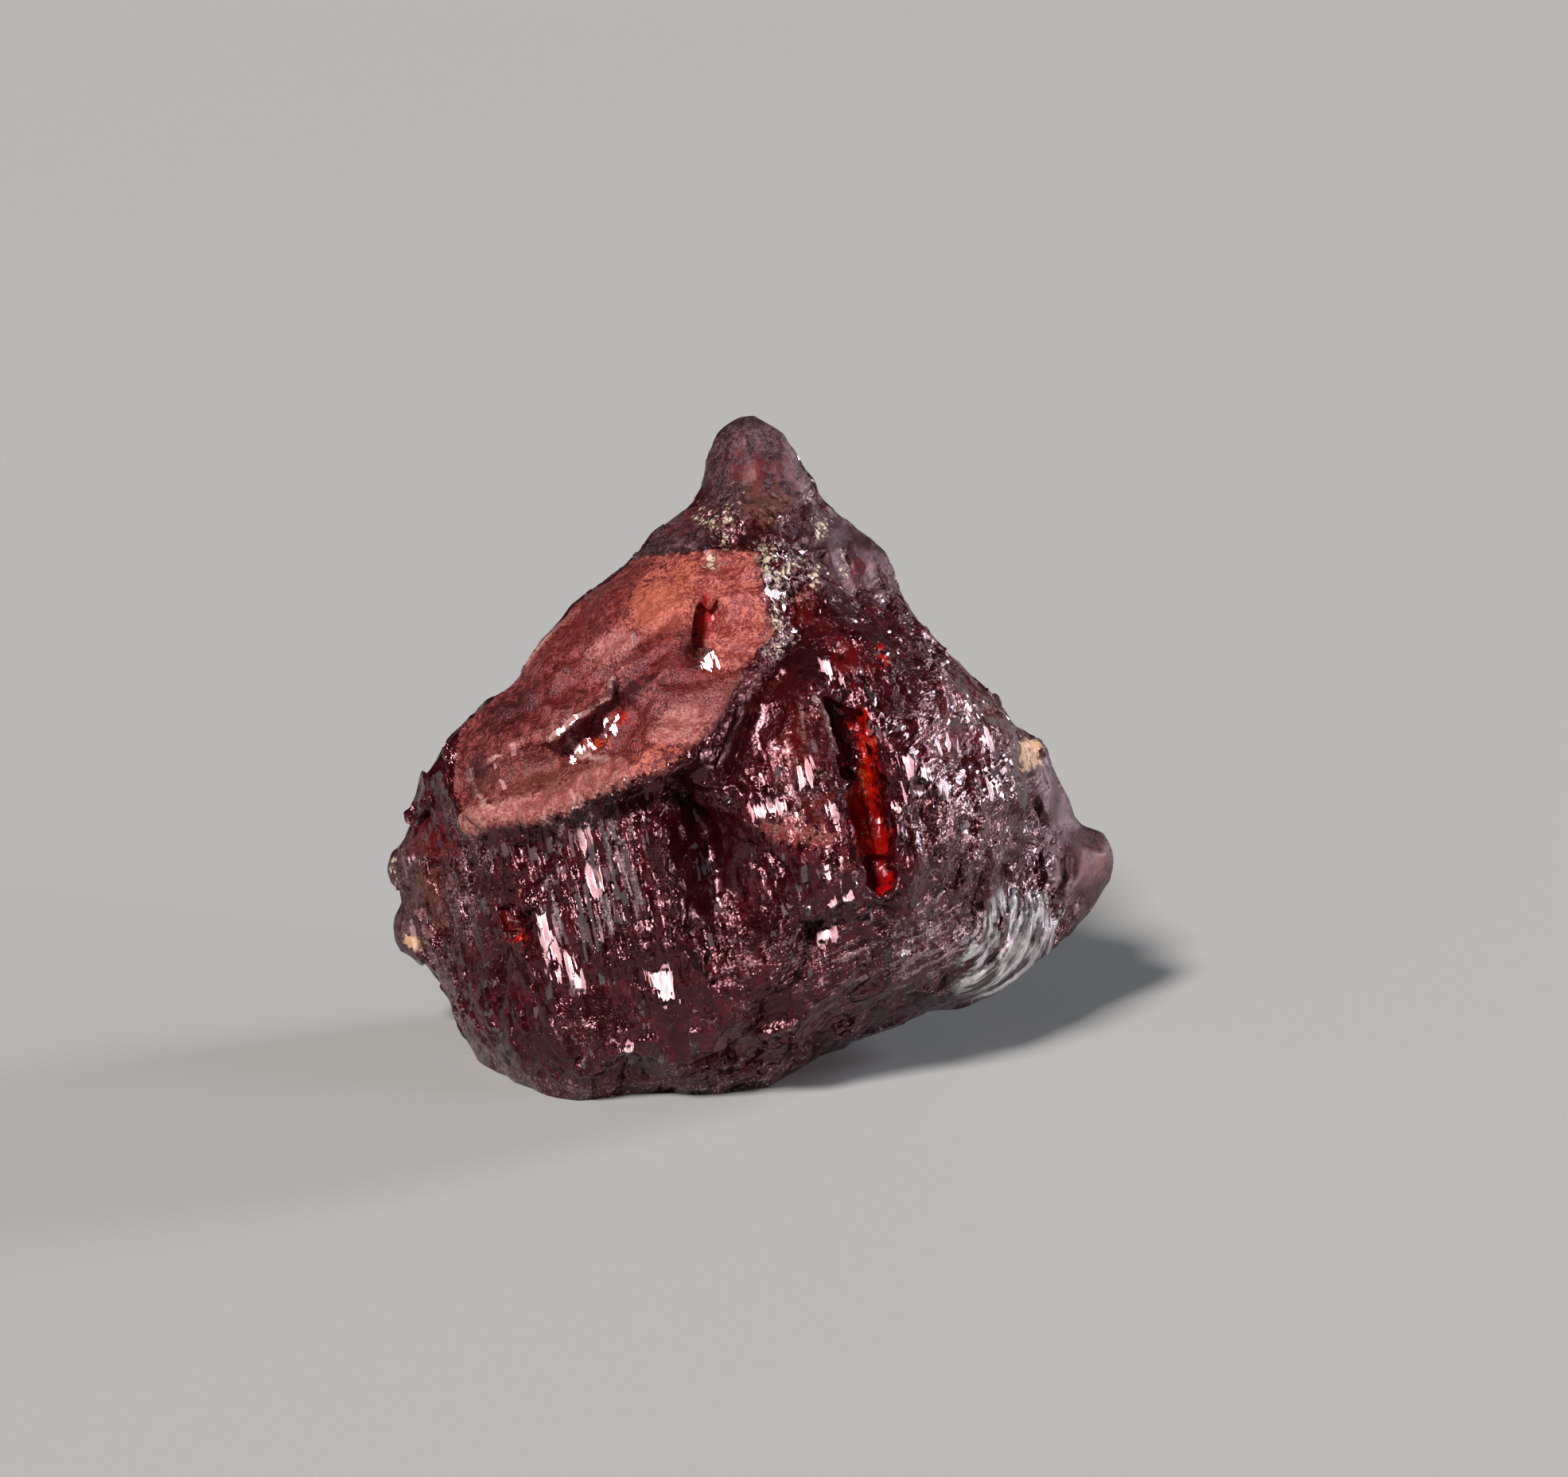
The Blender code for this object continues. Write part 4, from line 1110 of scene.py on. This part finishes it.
class GARNET_OT_stage(bpy.types.Operator):
    """Sets the crystal on a plain pale floor, in soft light, in front of the camera"""

    bl_idname = "garnet.stage"
    bl_label = "Stage"

    def execute(self, context):
        stage = context.scene.garnet_stage
        only(frame["nodes"][SOLID])
        bpy.ops.object.select_all(action="DESELECT")
        bpy.ops.mesh.primitive_plane_add(size=4.0)
        floor = context.object
        floor.name = "floor"
        material = bpy.data.materials.new("floor")
        material.use_nodes = True
        shader = material.node_tree.nodes["Principled BSDF"]
        shader.inputs["Base Color"].default_value = stage.floor_colour
        shader.inputs["Roughness"].default_value = 0.7
        floor.data.materials.append(material)

        soft_light("main light", mirrored(FACING), 12, stage.key_strength, (1.0, 0.97, 0.93))
        soft_light("fill light", FROM_RIGHT, 18, stage.fill_strength, (0.93, 0.96, 1.0))
        soft_light("side light", mirrored(SIDE_FACING), 12, stage.side_strength, (0.85, 0.92, 1.0))
        world = bpy.data.worlds.new("surroundings")
        world.use_nodes = True
        light = stage.surroundings
        world.node_tree.nodes["Background"].inputs[0].default_value = (light, light, light, 1)
        context.scene.world = world

        camera = bpy.data.cameras.new("camera")
        camera.lens = stage.lens
        camera.clip_start = 1 * MM
        eye = bpy.data.objects.new("camera", camera)
        context.scene.collection.objects.link(eye)
        looked_at = TO_FRONT.inverted() @ VIEW_MIDDLE
        forward = Vector((0, math.cos(LEAN), -math.sin(LEAN)))
        eye.location = looked_at - forward * stage.across * stage.lens / camera.sensor_width * MM
        eye.rotation_euler = forward.to_track_quat("-Z", "Y").to_euler()
        context.scene.camera = eye
        context.scene.view_settings.view_transform = "Standard"
        return {"FINISHED"}


class GARNET_PT_panel(bpy.types.Panel):
    """Lists the crystal's settings and its operators"""

    bl_idname = "GARNET_PT_panel"
    bl_label = "Rough garnet crystal"
    bl_space_type = "VIEW_3D"
    bl_region_type = "UI"
    bl_category = "Garnet"

    def draw(self, context):
        for settings, operator in (
            (context.scene.garnet_shape, GARNET_OT_crystal),
            (context.scene.garnet_look, None),
            (context.scene.garnet_stage, GARNET_OT_stage),
        ):
            box = self.layout.box()
            for name in type(settings).__annotations__:
                box.prop(settings, name)
            if operator:
                box.operator(operator.bl_idname)


CLASSES = (GarnetShape, GarnetLook, GarnetStage, GARNET_OT_crystal, GARNET_OT_stage, GARNET_PT_panel)


def register():
    for cls in CLASSES:
        bpy.utils.register_class(cls)
    bpy.types.Scene.garnet_shape = PointerProperty(type=GarnetShape)
    bpy.types.Scene.garnet_look = PointerProperty(type=GarnetLook)
    bpy.types.Scene.garnet_stage = PointerProperty(type=GarnetStage)


def unregister():
    del bpy.types.Scene.garnet_shape, bpy.types.Scene.garnet_look, bpy.types.Scene.garnet_stage
    for cls in reversed(CLASSES):
        bpy.utils.unregister_class(cls)


def main():
    register()
    bpy.ops.garnet.crystal()
    bpy.ops.garnet.stage()


if __name__ == "__main__":
    main()
